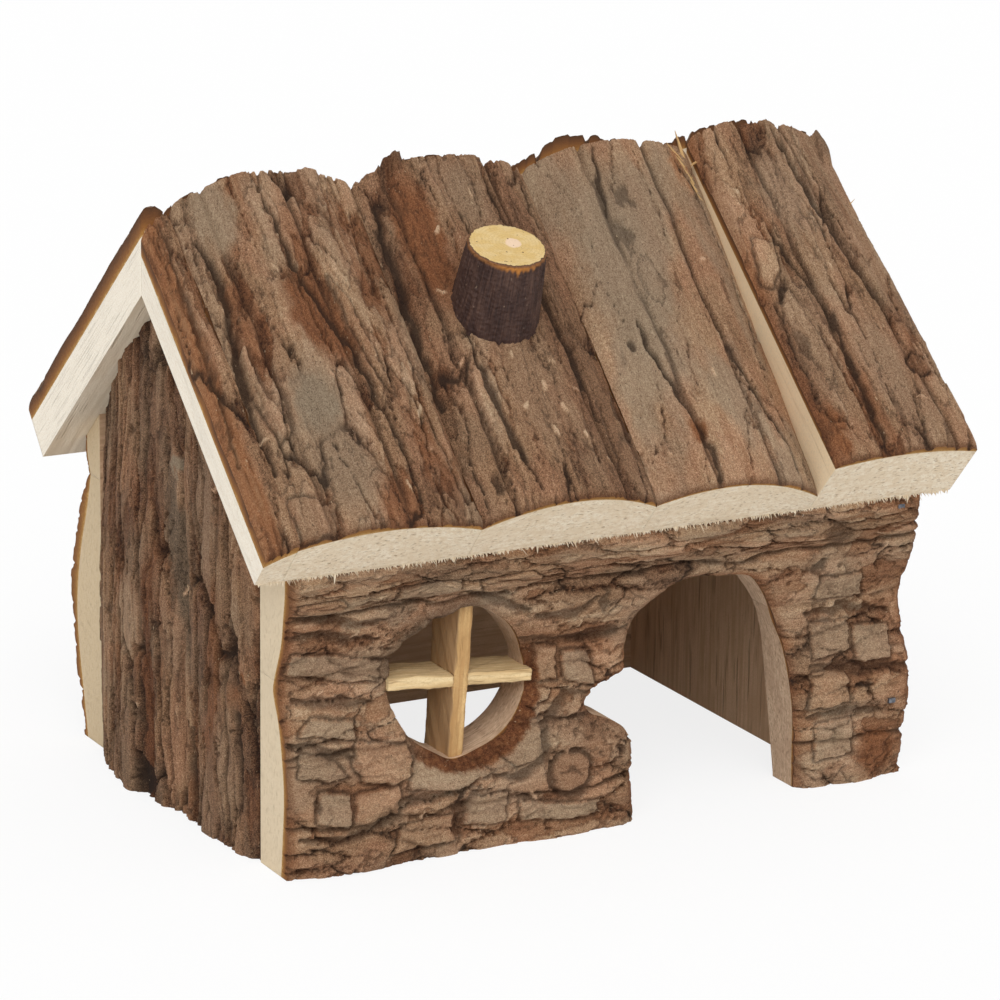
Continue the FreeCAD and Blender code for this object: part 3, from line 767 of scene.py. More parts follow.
def branch_bark_material():
    """Thin dark bark of a young branch, nearly black with a purple cast and fine upright lines."""
    s = Shader("branch_bark", roughness=0.55)
    line = s.grain((2.6, 0.10, 1.0))
    blotch = s.grain((0.25, 0.12, 1.0), shift=(2, 4, 0))
    level = s.math("MULTIPLY_ADD", line, 0.6, s.math("MULTIPLY", blotch, 0.5))
    colour = s.ramp(level, [(0.35, rgb(42, 30, 28)), (0.52, rgb(64, 45, 40)),
                            (0.70, rgb(92, 68, 58))])
    fleck = s.grain((1.2, 0.7, 1.0), detail=1, shift=(3, 3, 0))
    colour = s.mix(s.spread(fleck, 0.72, 0.78, 0, 0.6), colour, rgb(150, 128, 108))
    colour = s.mix(s.attribute("gold").outputs["Fac"], colour, rgb(186, 122, 56))
    return s.finish(colour, line, 0.0005, 0.7)


# Where the branch's pattern has its middle, clear of the slabs' patterns
BRANCH_PATTERN = 300.0


def branch_top_material():
    """Sawn branch end: faint rings, a pale heart and a few dark specks on yellow wood."""
    s = Shader("branch_top", roughness=0.7)
    warp = s.grain((0.25, 0.25, 0.25), detail=3)
    radius = s.math("MULTIPLY_ADD", warp, 1.6, s.distance((BRANCH_PATTERN + 1.5, -1, 0)))
    rings = s.math("SINE", s.math("MULTIPLY", radius, 7.0))
    fine = s.grain((3, 3, 3), rough=0.7)
    blotch = s.grain((0.22, 0.30, 0.2), detail=2, shift=(4, 1, 0))
    colour = s.mix(s.spread(blotch, 0.42, 0.62), rgb(220, 188, 124), rgb(226, 198, 142))
    colour = s.mix(s.spread(rings, 0.2, 1, 0, 0.22), colour, rgb(190, 150, 88))
    colour = s.mix(s.spread(fine, 0.50, 0.72, 0, 0.7), colour, rgb(180, 140, 82))
    heart = s.math("MULTIPLY_ADD", warp, 1.5, s.distance((BRANCH_PATTERN + 2, -0.6, 0)))
    colour = s.mix(s.spread(heart, 3.1, 2.5), colour, rgb(238, 208, 178))
    speck = s.grain((0.9, 0.9, 0.9), detail=1, shift=(8, 2, 0))
    colour = s.mix(s.spread(speck, 0.70, 0.76), colour, rgb(96, 62, 36))
    return s.finish(colour, fine, 0.0003, 0.6)


def steel_material():
    s = Shader("dull_steel", roughness=0.42, specular=0.5, patterned=False)
    stain = s.grain((900, 900, 900))
    s.surface.inputs["Metallic"].default_value = 0.85
    return s.finish(s.ramp(stain, [(0.3, rgb(72, 74, 80)), (0.7, rgb(132, 134, 140))]))


# Light, middle and line colour, strength of the dashes, and the painted light and shade of faces
# that look sideways
CREAM = ((242, 230, 208), (226, 206, 176), (158, 124, 88), 0.8)
WOODS = {
    "sawn_wood": (*CREAM, None),
    "gable_wood": (*CREAM, (255, 247, 232)),
    "wedge_wood": (*CREAM, (250, 224, 184)),
    "wall_wood": (*CREAM, (230, 210, 178)),
    "rear_wood": (*CREAM, (206, 182, 144)),
    "inner_wood": ((226, 192, 158), (194, 158, 124), (110, 82, 60), 0.5, None),
    "soffit_wood": ((234, 220, 198), (214, 196, 170), (168, 140, 110), 0.3, None),
    # darker copy of the sawn wood for the sides of the doorway and window: painted shade
    "reveal_wood_painted_shade": ((224, 196, 166), (190, 158, 130), (120, 88, 64), 0.8, None),
    "upright_wood": ((224, 188, 132), (184, 142, 92), (120, 80, 44), 0.9, (176, 142, 106)),
    "crossbar_wood": ((240, 216, 170), (212, 180, 130), (156, 114, 70), 0.8, None),
}
bark = bark_material()
rim = rim_material()
branch_bark = branch_bark_material()
branch_top = branch_top_material()
steel = steel_material()
woods = {name: wood_material(name, *given) for name, given in WOODS.items()}

# Roof


def roof_place(front):
    """Places on the front or the back slope, mitred at the ridge."""
    side = -1 if front else 1

    def place(u, v, h):
        s = v - h * math.tan(PITCH) * (1 - v / SLOPE)
        y = side * (s * math.cos(PITCH) + h * math.sin(PITCH))
        z = RIDGE_Z - s * math.sin(PITCH) + h * math.cos(PITCH)
        return u, y, z
    return place


def roof_top(eave, ridge, bark_eave, style, at_eave, at_ridge, seed, paint):
    """Bark and wood heights of a roof slab, changing evenly from the ridge to the eave."""
    def top(u, v, border, hole_gap):
        share, sides = share_across(u)
        down = v / SLOPE
        outside = crown(*ridge, share) * (1 - down) + crown(*eave, share) * down
        wood = outside - bark_eave
        face = Face(u, v, style, seed)
        for low, high in zip(at_eave, at_ridge):
            face.furrow(u[0, 0] + low * down + high * (1 - down), wander=0.8)
        paint(face)
        ends = SLOPE - v
        trim = 0.8 * np.exp(-(ends / 0.7) ** 2) + 0.5 * np.exp(-(ends / 2.5) ** 2)
        surface = outside + face.height - trim - 0.9 * np.exp(-(sides / 0.9) ** 2)
        return surface, wood, face
    return top


def scrape_eave(face):
    """Scraped golden bark along the sawn eave."""
    face.raise_weight("gold", 0.75 * np.exp(-((SLOPE - face.along) / 0.9) ** 2))


# Thickness left, right and rise of the crown at the eave and at the ridge, bark thickness, style,
# and the places of the furrows from the left edge at the eave and at the ridge
ROOF_SLABS = {
    "roof_front_edge_strip": ((11.4, 16.4, 0.4), (11.6, 15.6, 0.8), 4.0, "streaky", (), ()),
    "roof_front_slab_1": ((15.4, 13.8, 4.6), (16.4, 17.4, 4.7), 2.4, "strips", (9, 30), (9, 30)),
    "roof_front_slab_2": ((13.8, 13.4, 7.4), (17.4, 17.2, 4.2), 2.4, "streaky", (8.5, 38.5),
                          (8.5, 38.5)),
    "roof_front_slab_3": ((13.4, 7.4, 7.1), (17.0, 17.9, 3.9), 1.9, "smooth", (16.5, 35),
                          (16.5, 35)),
    "roof_front_slab_4": ((20.4, 19.9, 2.8), (20.1, 15.6, 5.0), 2.6, "thick", (15, 36), (15, 28)),
    "roof_back_edge_strip": ((16.5, 16.5, 0.7), (16.5, 16.5, 0.7), 5.4, "streaky", (), ()),
    "roof_back_slab_1": ((15.6, 15.6, 6), (15.6, 15.6, 6), 3.0, "strips", (9, 30), (9, 30)),
    "roof_back_slab_2": ((15.6, 15.6, 6), (15.6, 15.6, 6), 3.0, "streaky", (9, 30), (9, 30)),
    "roof_back_slab_3": ((15.6, 15.6, 6), (17.2, 16.2, 6), 3.0, "thick", (9, 30), (9, 30)),
    "roof_back_slab_4": ((17.0, 17.0, 5.8), (19.4, 16.4, 4.4), 3.0, "strips", (9, 30), (9, 30)),
}


def chip(face, places):
    """Small pale torn slivers standing up from the bark."""
    for across, along in places:
        vary = (across * 13.7 + along * 7.3) % 1.0
        face.patch((across, along), (0.3 + 0.25 * vary, 0.7 + 1.0 * (vary * 7.1 % 1.0)),
                   turn=150 * vary - 75, edge=0.3, raised=0.4, shake=0.5, tone=0.96, red=0.0,
                   dark=0.0, grey=0.0)


def paint_strip(face):
    """Split reddish-brown fibres along the gable edge."""
    scrape_eave(face)
    across, along = face.across, face.along
    outer = 1 - smooth(across + 0.8 * fractal(across / 3, along / 5, 8101, 3), -96.8, -94.4)
    fibre = fractal(across / 0.9, along / 16.0, 8103, 3)
    face.tone = face.tone * (1 - outer) + (0.76 + 0.24 * fibre) * outer
    face.raise_weight("red", 0.95 * outer)
    face.raise_weight("gold", 0.35 * outer * smooth(fibre, -0.2, 0.5))
    face.grey = face.grey * (1 - outer)
    # painted shade between the raised fibres
    face.raise_weight("dark", 0.5 * outer * smooth(-fibre, 0.3, 0.7))
    face.height = face.height + 0.5 * outer * fibre
    face.crack([(-95.5, 1.5), (-96.3, 22.0), (-97.0, 45.0), (-98.6, 65.0)], 0.7, 1.0, 0.7)


def paint_slab_1(face):
    """Grey plates, a worn red patch and two long splits."""
    scrape_eave(face)
    face.patch((-83.0, 7.0), (5.5, 9.0), flat=0.6, tone=0.66, grey=0.7, red=0.0, dark=0.0)
    face.patch((-66.5, 37.0), (7.0, 12.5), turn=-18, raised=-0.5, tone=0.50, red=0.9, grey=0.0)
    face.patch((-76.0, 57.0), (6.2, 8.5), edge=0.45, flat=0.85, tone=0.60, grey=1.0, red=0.0,
               dark=0.0)
    face.patch((-75.0, 72.0), (8.0, 9.0), edge=0.5, flat=0.5, tone=0.60, grey=0.6, red=0.15)
    face.crack([(-89.3, 10.0), (-87.3, 17.5), (-87.8, 27.0), (-89.5, 37.8), (-91.6, 50.2),
                (-91.8, 70.0)], 1.1, 1.8)
    face.crack([(-69.8, 7.0), (-68.3, 17.2), (-67.5, 26.0), (-64.8, 32.5), (-62.8, 40.2),
                (-60.5, 45.2), (-60.0, 52.8), (-58.8, 62.5), (-57.5, 72.5), (-57.8, 82.2)], 1.0, 1.6)
    # a sunk hole filled with painted shade
    face.patch((-91.0, 46.0), (1.4, 4.0), raised=-1.8, dark=0.95)
    face.flake([(-89.5, 38.8), (-87.5, 39.8), (-87.6, 51.2), (-84.3, 61.2), (-87.5, 62.5),
                (-90.0, 53.0)], thick=1.2, tone=0.74, red=0.1)
    face.flake([(-91.6, 76.6), (-88.5, 77.0), (-81.0, 80.6), (-82.6, 86.6), (-91.6, 86.8)],
               thick=0.7, tone=0.66, red=0.3, grey=0.3)
    face.flake([(-60.5, 27.0), (-57.0, 34.0), (-55.2, 44.0), (-54.3, 56.0), (-56.8, 52.0),
                (-58.6, 41.0)], thick=0.9, tone=0.70, red=0.2)
    chip(face, [(-73.3, 23.5), (-91.5, 60.5), (-60.0, 78.0), (-70.0, 51.0), (-49.0, 60.0)])


def paint_slab_2(face):
    """Reddish flat bark with a dark band down its right half."""
    scrape_eave(face)
    face.patch((-30.0, 20.0), (6.0, 17.0), edge=0.45, flat=0.5, tone=0.52, red=1.0, grey=0.0)
    face.patch((-2.0, 46.0), (6.5, 42.0), edge=0.5, raised=-0.3, tone=0.44, red=0.35, grey=0.2)
    face.patch((-18.0, 62.0), (7.0, 14.0), edge=0.5, flat=0.4, tone=0.60, red=0.3, grey=0.3)
    face.patch((-14.0, 9.0), (6.0, 8.0), edge=0.5, tone=0.56, red=0.2, grey=0.5)
    face.crack([(-39.0, 9.5), (-39.2, 22.5), (-40.3, 36.0), (-41.0, 58.0)], 1.2, 1.6)
    face.crack([(-29.2, 43.2), (-29.0, 63.8), (-26.5, 84.0)], 0.9, 1.2)
    face.crack([(-6.5, 3.8), (-4.7, 24.8), (-2.7, 45.2), (-2.5, 68.5)], 1.0, 1.4)
    # sunk holes filled with painted shade
    face.patch((-36.3, 80.0), (1.2, 3.2), raised=-1.4, dark=0.85)
    face.patch((5.8, 66.0), (1.7, 8.0), raised=-0.5, dark=0.65, shake=2.4)
    face.patch((-31.0, 0.0), (3.4, 1.6), raised=2.4, dark=0.45, shake=1.4)
    chip(face, [(-12.5, 10.5), (-25.7, 18.2), (-20.0, 52.0), (-15.0, 60.0), (-12.0, 66.0),
                (-17.0, 71.0), (-9.0, 73.0), (-6.0, 61.0), (-22.0, 64.0), (-31.0, 33.0),
                (-10.0, 54.0), (-5.0, 79.0), (-33.0, 50.0)])


def paint_slab_3(face):
    """Smooth grey bark with three thin splits."""
    scrape_eave(face)
    face.patch((22.0, 32.0), (11.0, 27.0), edge=0.5, flat=0.55, tone=0.65, red=0.1, grey=0.8)
    face.patch((24.0, 73.5), (2.2, 2.6), tone=0.60, red=1.0, grey=0.0, dark=0.0)
    # sunk spots filled with painted shade
    face.patch((30.7, 14.0), (1.6, 2.6), raised=-0.5, dark=0.6, shake=2.0)
    face.patch((26.0, 22.5), (1.7, 4.6), turn=-18, raised=-0.5, dark=0.6, shake=2.0)
    face.patch((16.0, 50.0), (0.9, 1.6), raised=-0.7, dark=0.85, shake=0.6)
    face.crack([(27.7, 1.2), (25.7, 8.8), (24.5, 17.5)], 0.7, 1.0)
    face.crack([(19.7, 45.0), (20.0, 52.2), (21.5, 58.2), (22.7, 64.5), (24.5, 72.5), (25.2, 80.2),
                (24.2, 87.0)], 0.9, 1.3)
    face.crack([(41.7, 38.2), (42.7, 48.5), (43.7, 56.0), (46.7, 66.0), (50.2, 75.5),
                (50.5, 84.8)], 0.9, 1.2)
    face.patch((51.5, 6.0), (2.4, 4.0), raised=0.6, tone=0.8, red=0.9, grey=0.0, shake=2.5)
    chip(face, [(35.0, 60.0), (14.0, 78.0), (47.0, 30.0)])


def paint_slab_4(face):
    """Thick bark with a red left side, a wide split and a round scar at the right."""
    scrape_eave(face)
    side = np.exp(-((face.across - 57.0) / 3.0) ** 2)
    face.raise_weight("red", 0.9 * side)
    face.tone = face.tone - 0.06 * side
    face.patch((75.0, 20.0), (6.0, 12.0), edge=0.5, flat=0.4, tone=0.64, grey=0.5, red=0.1)
    face.patch((82.0, 66.0), (6.0, 13.0), edge=0.5, flat=0.4, tone=0.62, grey=0.4, red=0.2)
    face.crack([(66.3, 27.8), (68.0, 33.0), (69.0, 38.8), (71.0, 45.2), (73.0, 51.8), (72.8, 64.2),
                (72.3, 77.2), (72.0, 87.0)], 0.8, 1.2)
    face.crack([(81.5, 2.0), (83.3, 13.8), (84.5, 19.8), (85.8, 26.0), (87.3, 34.5), (88.8, 42.2),
                (90.3, 49.0), (91.0, 54.2)], 1.6, 2.2)
    face.flake([(61.3, 29.8), (66.0, 32.8), (64.4, 38.5), (61.3, 42.5), (58.6, 41.0)], thick=0.8,
               tone=0.76, red=0.05)
    # a sunk spot filled with painted shade
    face.patch((61.5, 57.5), (1.1, 4.4), raised=-0.5, dark=0.55)
    face.patch((60.0, 80.5), (3.0, 7.0), tone=0.56, red=1.0, grey=0.0)
    face.patch((92.0, 66.2), (3.0, 4.2), raised=0.5, tone=0.52, red=0.5)
    face.crack(open_ring((92.0, 66.2), 3.0, 20, 330, 16), 0.6, 0.8)
    face.patch((97.6, 3.0), (2.0, 4.2), raised=2.2, dark=0.5, shake=1.4)
    chip(face, [(63.0, 17.0), (70.0, 60.0), (88.0, 75.0), (79.0, 40.0)])


PAINT = {
    "roof_front_edge_strip": paint_strip,
    "roof_front_slab_1": paint_slab_1,
    "roof_front_slab_2": paint_slab_2,
    "roof_front_slab_3": paint_slab_3,
    "roof_front_slab_4": paint_slab_4,
}


def build_roof():
    """The ten roof pieces, each with its own bark."""
    for number, (name, sizes) in enumerate(ROOF_SLABS.items(), start=1):
        low, high = node_box(name)
        front = "front" in name
        spacing = FRONT_GRID if front else REAR_ROOF_GRID
        sawn = woods["gable_wood" if "strip" in name else "wedge_wood"]
        slab_mesh(name.replace("roof", "bark_roof"), name,
                  grid_axis(low[0], high[0], spacing), grid_axis(0, SLOPE, spacing),
                  roof_top(*sizes, number * 1000, PAINT.get(name, scrape_eave)),
                  roof_place(front), (bark, rim, sawn, woods["soffit_wood"]))


# Walls

WINDOW_CENTRE = (-41.1, 44.0)
WINDOW_RADIUS = 19.8
# The doorway's outline starts and ends under the floor line, so that nothing is left there
BELOW = -1.0


def smooth_curve(points, steps=10):
    """A Catmull-Rom curve through the points."""
    curve = []
    padded = [points[0], *points, points[-1]]
    for p0, p1, p2, p3 in zip(padded, padded[1:], padded[2:], padded[3:]):
        for step in range(steps):
            t = step / steps
            curve.append(tuple(
                0.5 * (2 * b + (c - a) * t + (2 * a - 5 * b + 4 * c - d) * t * t
                       + (3 * b - a - 3 * c + d) * t ** 3)
                for a, b, c, d in zip(p0, p1, p2, p3)))
    return curve + [points[-1]]


# Edges of the doorway and the round window where they break out through the bark
DOOR = ([(8.5, BELOW)]
        + smooth_curve([(8.4, 0.0), (7.0, 8.8), (6.4, 21.3), (5.7, 24.0), (3.7, 26.6), (-0.5, 28.8),
                        (-3.7, 30.0), (-5.3, 31.7), (-5.8, 33.3), (-4.8, 35.2), (-2.2, 37.1),
                        (1.7, 38.1), (5.1, 39.6), (6.4, 41.0), (6.7, 44.2), (7.6, 47.1),
                        (9.5, 54.1), (14.0, 58.4), (19.9, 61.5), (25.6, 62.7), (34.6, 62.3),
                        (41.3, 61.1), (46.1, 56.7), (50.9, 49.6), (53.3, 42.0), (54.2, 36.7),
                        (55.2, 28.8), (56.6, 17.9), (58.6, 1.1)], 5)
        + [(58.7, BELOW)])
WINDOW = smooth_curve([(-21.5, 42.9), (-21.5, 46.6), (-23.5, 51.5), (-26.9, 56.3), (-30.4, 59.4),
                       (-34.9, 62.3), (-38.5, 63.8), (-42.4, 63.6), (-45.8, 61.4), (-49.6, 61.6),
                       (-52.8, 58.6), (-57.0, 57.0), (-58.2, 54.0), (-61.0, 52.3), (-59.8, 48.9),
                       (-60.9, 43.2), (-60.0, 39.0), (-58.2, 34.8), (-55.9, 31.5), (-52.7, 28.8),
                       (-48.7, 26.4), (-45.4, 24.6), (-41.8, 24.5), (-37.4, 25.8), (-32.5, 27.6),
                       (-28.1, 30.6), (-25.0, 34.2), (-22.5, 38.6)], 3)
# A place inside the doorway, where the grids of the two lower slabs meet
DOOR_MIDDLE = 33.0


def profile(points):
    """Thickness against height, smoothly through a few measured places."""
    curve = smooth_curve(points)
    heights, values = np.array(curve).T
    return lambda z: np.interp(z, heights, values)


FRONT_BARK = profile([(0, 14.6), (7, 15.7), (21, 16.5), (34, 14.6), (48, 11.2), (58, 14.2),
                      (70, 17.0), (77, 17.5), (93, 17.6)])
FRONT_WOOD = profile([(0, 11.8), (6.6, 12.4), (20.4, 13.4), (30.2, 12.4), (39.4, 10.3),
                      (46.4, 7.4), (50.6, 8.1), (55.8, 10.3), (62.9, 12.5), (77, 13.9),
                      (93, 14.0)])
BACK_LOWER_BARK = profile([(0, 12.2), (12, 16.3), (25, 19.3), (38, 21.5), (53, 18.8),
                           (65, 14.2), (74.5, 8.2)])
BACK_LOWER_WOOD = profile([(0, 10.2), (12, 12.8), (26, 15.8), (38, 16.4), (52, 13.6),
                           (64, 9.2), (74.5, 6.2)])
# How much the foot of the front wall stands out more or less, along the wall
FOOT_PLACES = (-92, -78, -61, -31, -15, 7.5, 60, 74.5, 92)
FOOT_EXTRA = (0.0, 3.6, 2.8, 0.7, 2.6, 0.5, -2.6, -1.2, -3.0)
BACK_CAP_BARK = profile([(74.5, 7.9), (83, 10.0), (93, 10.2)])
BACK_CAP_WOOD = profile([(74.5, 6.4), (83, 8.2), (93, 8.4)])

# Heights of the main furrows
FRONT_FURROWS = (13, 31, 67)
BACK_FURROWS = (13, 31, 46)
FRONT_SEED, BACK_LOWER_SEED, BACK_UPPER_SEED = 21000, 24000, 25000
# Height from which the front wall's upper slab leans back to the roof
FRONT_BEVEL = 68.0


def wall_place(side, bevel_from=None):
    """Front (-1) or back (+1) wall.  Above bevel_from the slab's top follows the roof."""
    def place(u, v, h):
        z = v
        if bevel_from is not None:
            z = v - h * math.tan(PITCH) * np.clip((v - bevel_from) / (WALL_TOP - bevel_from), 0, 1)
        return u, side * (HALF_DEPTH + h), z
    return place


def wall_top(bark_profile, wood_profile, style, seed, paint, furrows=()):
    """Bark and wood heights of a wall slab.  The front wall's foot changes along the wall."""
    def top(u, v, border, hole_gap):
        face = Face(v, u, style, seed)
        for height in furrows:
            face.furrow(height, wander=1.6)
        paint(face, hole_gap)
        near = np.minimum(np.where(v < 1.5, 9.0, border), hole_gap)
        extra = 0.0
        if bark_profile is FRONT_BARK:
            extra = np.interp(u, FOOT_PLACES, FOOT_EXTRA) * (1 - smooth(v, 2, 34))
            extra = extra - 2.2 * smooth(u, 80, 91) * np.exp(-((v - 47) / 9) ** 2)
        surface = (bark_profile(v) + extra + face.height - 1.1 * np.exp(-(near / 0.8) ** 2)
                   - 0.9 * np.exp(-(hole_gap / 2.6) ** 2))
        return surface, wood_profile(v) + np.minimum(extra, 0), face
    return top


def wall_paint(face, hole_gap):
    """Redder and scraped bark at the sawn ends of a wall."""
    inward = WALL_END - np.abs(face.along)
    face.raise_weight("red", 0.8 * np.exp(-(inward / 2.2) ** 2))
    face.raise_weight("gold", 0.5 * np.exp(-inward ** 2))


# Plates of bark that stand out on the front wall, as corners (along, height)
PLATES = (
    [(-89.0, 71.0), (-88.6, 76.0), (-76.5, 76.5), (-76.0, 70.5), (-82.0, 69.0)],
    [(-89.6, 52.0), (-88.8, 57.6), (-74.0, 55.0), (-63.5, 52.6), (-64.0, 47.0), (-76.0, 48.6)],
    [(-87.4, 37.0), (-84.0, 40.6), (-71.6, 38.6), (-71.8, 33.6), (-80.0, 35.6)],
    [(-73.4, 27.5), (-71.6, 33.6), (-57.6, 30.6), (-56.6, 24.0), (-62.0, 21.0), (-70.0, 23.0)],
    [(-88.0, 27.0), (-87.0, 33.0), (-78.0, 29.4), (-75.0, 25.4), (-80.0, 24.4)],
    [(-83.6, 15.0), (-82.8, 22.4), (-74.4, 20.6), (-74.6, 12.0)],
    [(-73.6, 12.0), (-73.0, 20.2), (-60.6, 21.2), (-60.8, 13.4)],
    [(-58.6, 20.0), (-56.0, 27.4), (-40.0, 24.0), (-34.0, 20.6), (-44.0, 17.0)],
    [(-33.6, 26.0), (-31.0, 33.4), (-20.6, 31.6), (-19.6, 23.0), (-28.0, 21.0)],
    [(-63.0, 3.4), (-60.0, 10.4), (-46.0, 11.0), (-45.4, 4.0)],
    [(-43.0, 8.0), (-41.0, 15.0), (-30.0, 14.6), (-31.0, 7.0)],
    [(-26.0, 6.0), (-27.0, 12.0), (-14.0, 9.6), (-4.0, 9.0), (-4.0, 4.4)],
    [(-19.6, 41.0), (-19.0, 50.0), (-13.4, 48.6), (-13.8, 40.6)],
    [(-11.6, 40.6), (-12.0, 47.8), (-4.0, 46.4), (-3.4, 38.0)],
    [(-62.0, 70.6), (-60.4, 78.0), (-44.0, 79.0), (-44.4, 72.6), (-53.0, 69.0)],
    [(-38.0, 69.0), (-38.6, 76.6), (-24.0, 79.0), (-20.6, 71.6), (-29.0, 66.6)],
    [(61.0, 36.0), (61.6, 45.4), (73.0, 44.6), (72.4, 37.0)],
    [(74.0, 33.6), (74.6, 43.0), (85.6, 41.6), (84.6, 33.0)],
    [(60.0, 22.6), (60.6, 32.6), (71.6, 31.6), (72.0, 23.6)],
    [(62.6, 8.0), (62.0, 18.6), (72.6, 19.0), (73.4, 9.0)],
    [(62.0, 52.0), (63.0, 58.0), (76.0, 57.6), (77.6, 50.6)],
)
# Crumbly grooves between them, darkened with painted shade
GROOVES = (
    [(-90.0, 62.2), (-82.0, 62.8), (-74.7, 60.0), (-65.0, 59.0)],
    [(-88.0, 44.6), (-76.0, 43.4), (-66.0, 42.0)],
    [(-90.0, 34.8), (-84.0, 34.2), (-79.0, 30.8), (-75.0, 31.2), (-71.0, 26.2)],
    [(-57.0, 32.4), (-50.0, 29.5), (-44.0, 21.4)],
    [(-87.7, 10.6), (-76.7, 9.4), (-65.7, 11.6), (-58.6, 17.0), (-49.0, 16.4), (-42.2, 17.5)],
    [(-34.0, 19.2), (-26.2, 18.0), (-19.7, 22.0), (-18.5, 30.0), (-12.0, 37.0), (-3.3, 36.2)],
    [(-44.0, 4.0), (-44.0, 12.0), (-38.0, 17.0)],
    [(-23.5, 52.5), (-13.0, 50.8), (-1.5, 50.8), (7.0, 51.2)],
    [(-90.0, 68.0), (-80.0, 66.5), (-72.0, 63.5), (-64.0, 64.0)],
    [(-43.0, 70.0), (-34.0, 65.4), (-24.0, 61.0)],
    [(-22.0, 59.0), (-10.0, 58.0), (-4.0, 62.0)],
    [(59.6, 34.2), (70.0, 33.4), (78.0, 31.6), (87.0, 32.0)],
    [(60.0, 20.4), (70.0, 21.0), (82.0, 19.6)],
    [(60.0, 47.6), (72.0, 48.0), (86.0, 45.2)],
)


def swapped(points):
    """Points as (height, along), the order that a wall's face uses."""
    return [(height, along) for along, height in points]


def front_paint(face, hole_gap):
    """Plates, grooves, a knot and the marks round the window and the doorway."""
    wall_paint(face, hole_gap)
    height, along = face.across, face.along
    for groove in GROOVES:
        face.crack(swapped(groove), width=1.5, depth=1.1, dark=0.7)
    for number, plate in enumerate(PLATES):
        pinkish = number % 3 == 0
        face.flake(swapped(plate), thick=0.75, tone=0.72 + 0.03 * (number % 4),
                   red=0.25 if pinkish else 0.08, grey=0.1 if pinkish else 0.5)
    knot = (17.2, -12.2)
    face.patch(knot, (5.4, 6.0), edge=0.2, raised=0.7, flat=0.6, shake=0.6, tone=0.66, red=0.3,
               grey=0.2, dark=0.1)
    face.crack(open_ring(knot, 5.8, 0, 340, 24), 1.1, 1.3, 0.75)
    face.crack([(17.2, -15.0), (18.6, -12.0), (16.4, -9.0)], 0.5, 0.5, 0.6)
    # sunk holes filled with painted shade
    face.patch((79.5, -68.7), (1.1, 1.1), edge=0.15, raised=-2.4, shake=0.15, dark=1.0)
    face.patch((18.8, -83.5), (2.2, 1.0), edge=0.3, raised=-0.8, shake=0.6, dark=0.75)
    face.patch((25.0, 78.3), (0.8, 0.8), edge=0.3, raised=-0.5, shake=0.3, dark=0.7)
    face.patch((65.0, -60.0), (4.0, 5.0), edge=0.5, tone=0.66, red=0.1, grey=0.5, shake=2.5)
    face.patch((8.0, 82.0), (7.0, 7.0), edge=0.4, tone=0.56, red=0.95, grey=0.0)
    # sunk marks, the hollow under the eave among them, with painted shade
    face.patch((74.0, 65.5), (7.0, 4.5), edge=0.4, raised=-0.7, tone=0.46, red=0.1, dark=0.35)
    face.patch((61.0, 61.5), (2.0, 2.4), raised=-0.8, dark=0.8)
    face.patch((61.0, -1.8), (3.6, 1.2), raised=-0.8, dark=0.7)
    # scraped ring right of and below the round window
    round_off = np.hypot(along - WINDOW_CENTRE[0], height - WINDOW_CENTRE[1]) - WINDOW_RADIUS
    turned = np.cos(np.arctan2(height - WINDOW_CENTRE[1], along - WINDOW_CENTRE[0]) + 1.0)
    shaken = round_off + 0.7 * fractal(along / 2.0, height / 2.0, face.seed + 300, 3)
    scraped = smooth(turned, -0.05, 0.5) * (1 - smooth(shaken, 1.9, 3.1)) * (round_off > -2.5)
    mottle = smooth(fractal(along / 1.2, height / 1.2, face.seed + 310, 3), -0.1, 0.4)
    face.raise_weight("red", scraped)
    face.tone = face.tone * (1 - scraped) + (0.30 + 0.36 * mottle) * scraped
    face.grey = face.grey * (1 - scraped)
    face.dark = face.dark * (1 - 0.5 * scraped)
    face.raise_weight("gold", 0.45 * mottle * scraped)
    face.height = face.height - 0.6 * scraped
    # shaded broken layers over its upper left
    layers = smooth(-turned, 0.4, 0.8) * (1 - smooth(shaken, 1.0, 7.0)) * (round_off > -3)
    face.raise_weight("dark", 0.55 * layers)
    # broken edge of the doorway
    lip = np.exp(-(hole_gap / 1.5) ** 2) * (along > -20)
    face.raise_weight("red", 0.8 * lip)
    face.tone = face.tone - 0.08 * lip
    chip(face, swapped([(-22.8, 12.5), (12.3, 79.2), (-2.2, 81.5), (-66.0, 76.0), (-72.0, 61.0),
                        (-47.0, 77.0), (-33.0, 72.0), (-54.0, 12.0), (-8.0, 55.0), (24.0, 78.0),
                        (-80.0, 46.0), (79.0, 70.0), (68.0, 49.5), (-37.0, 6.0)]))


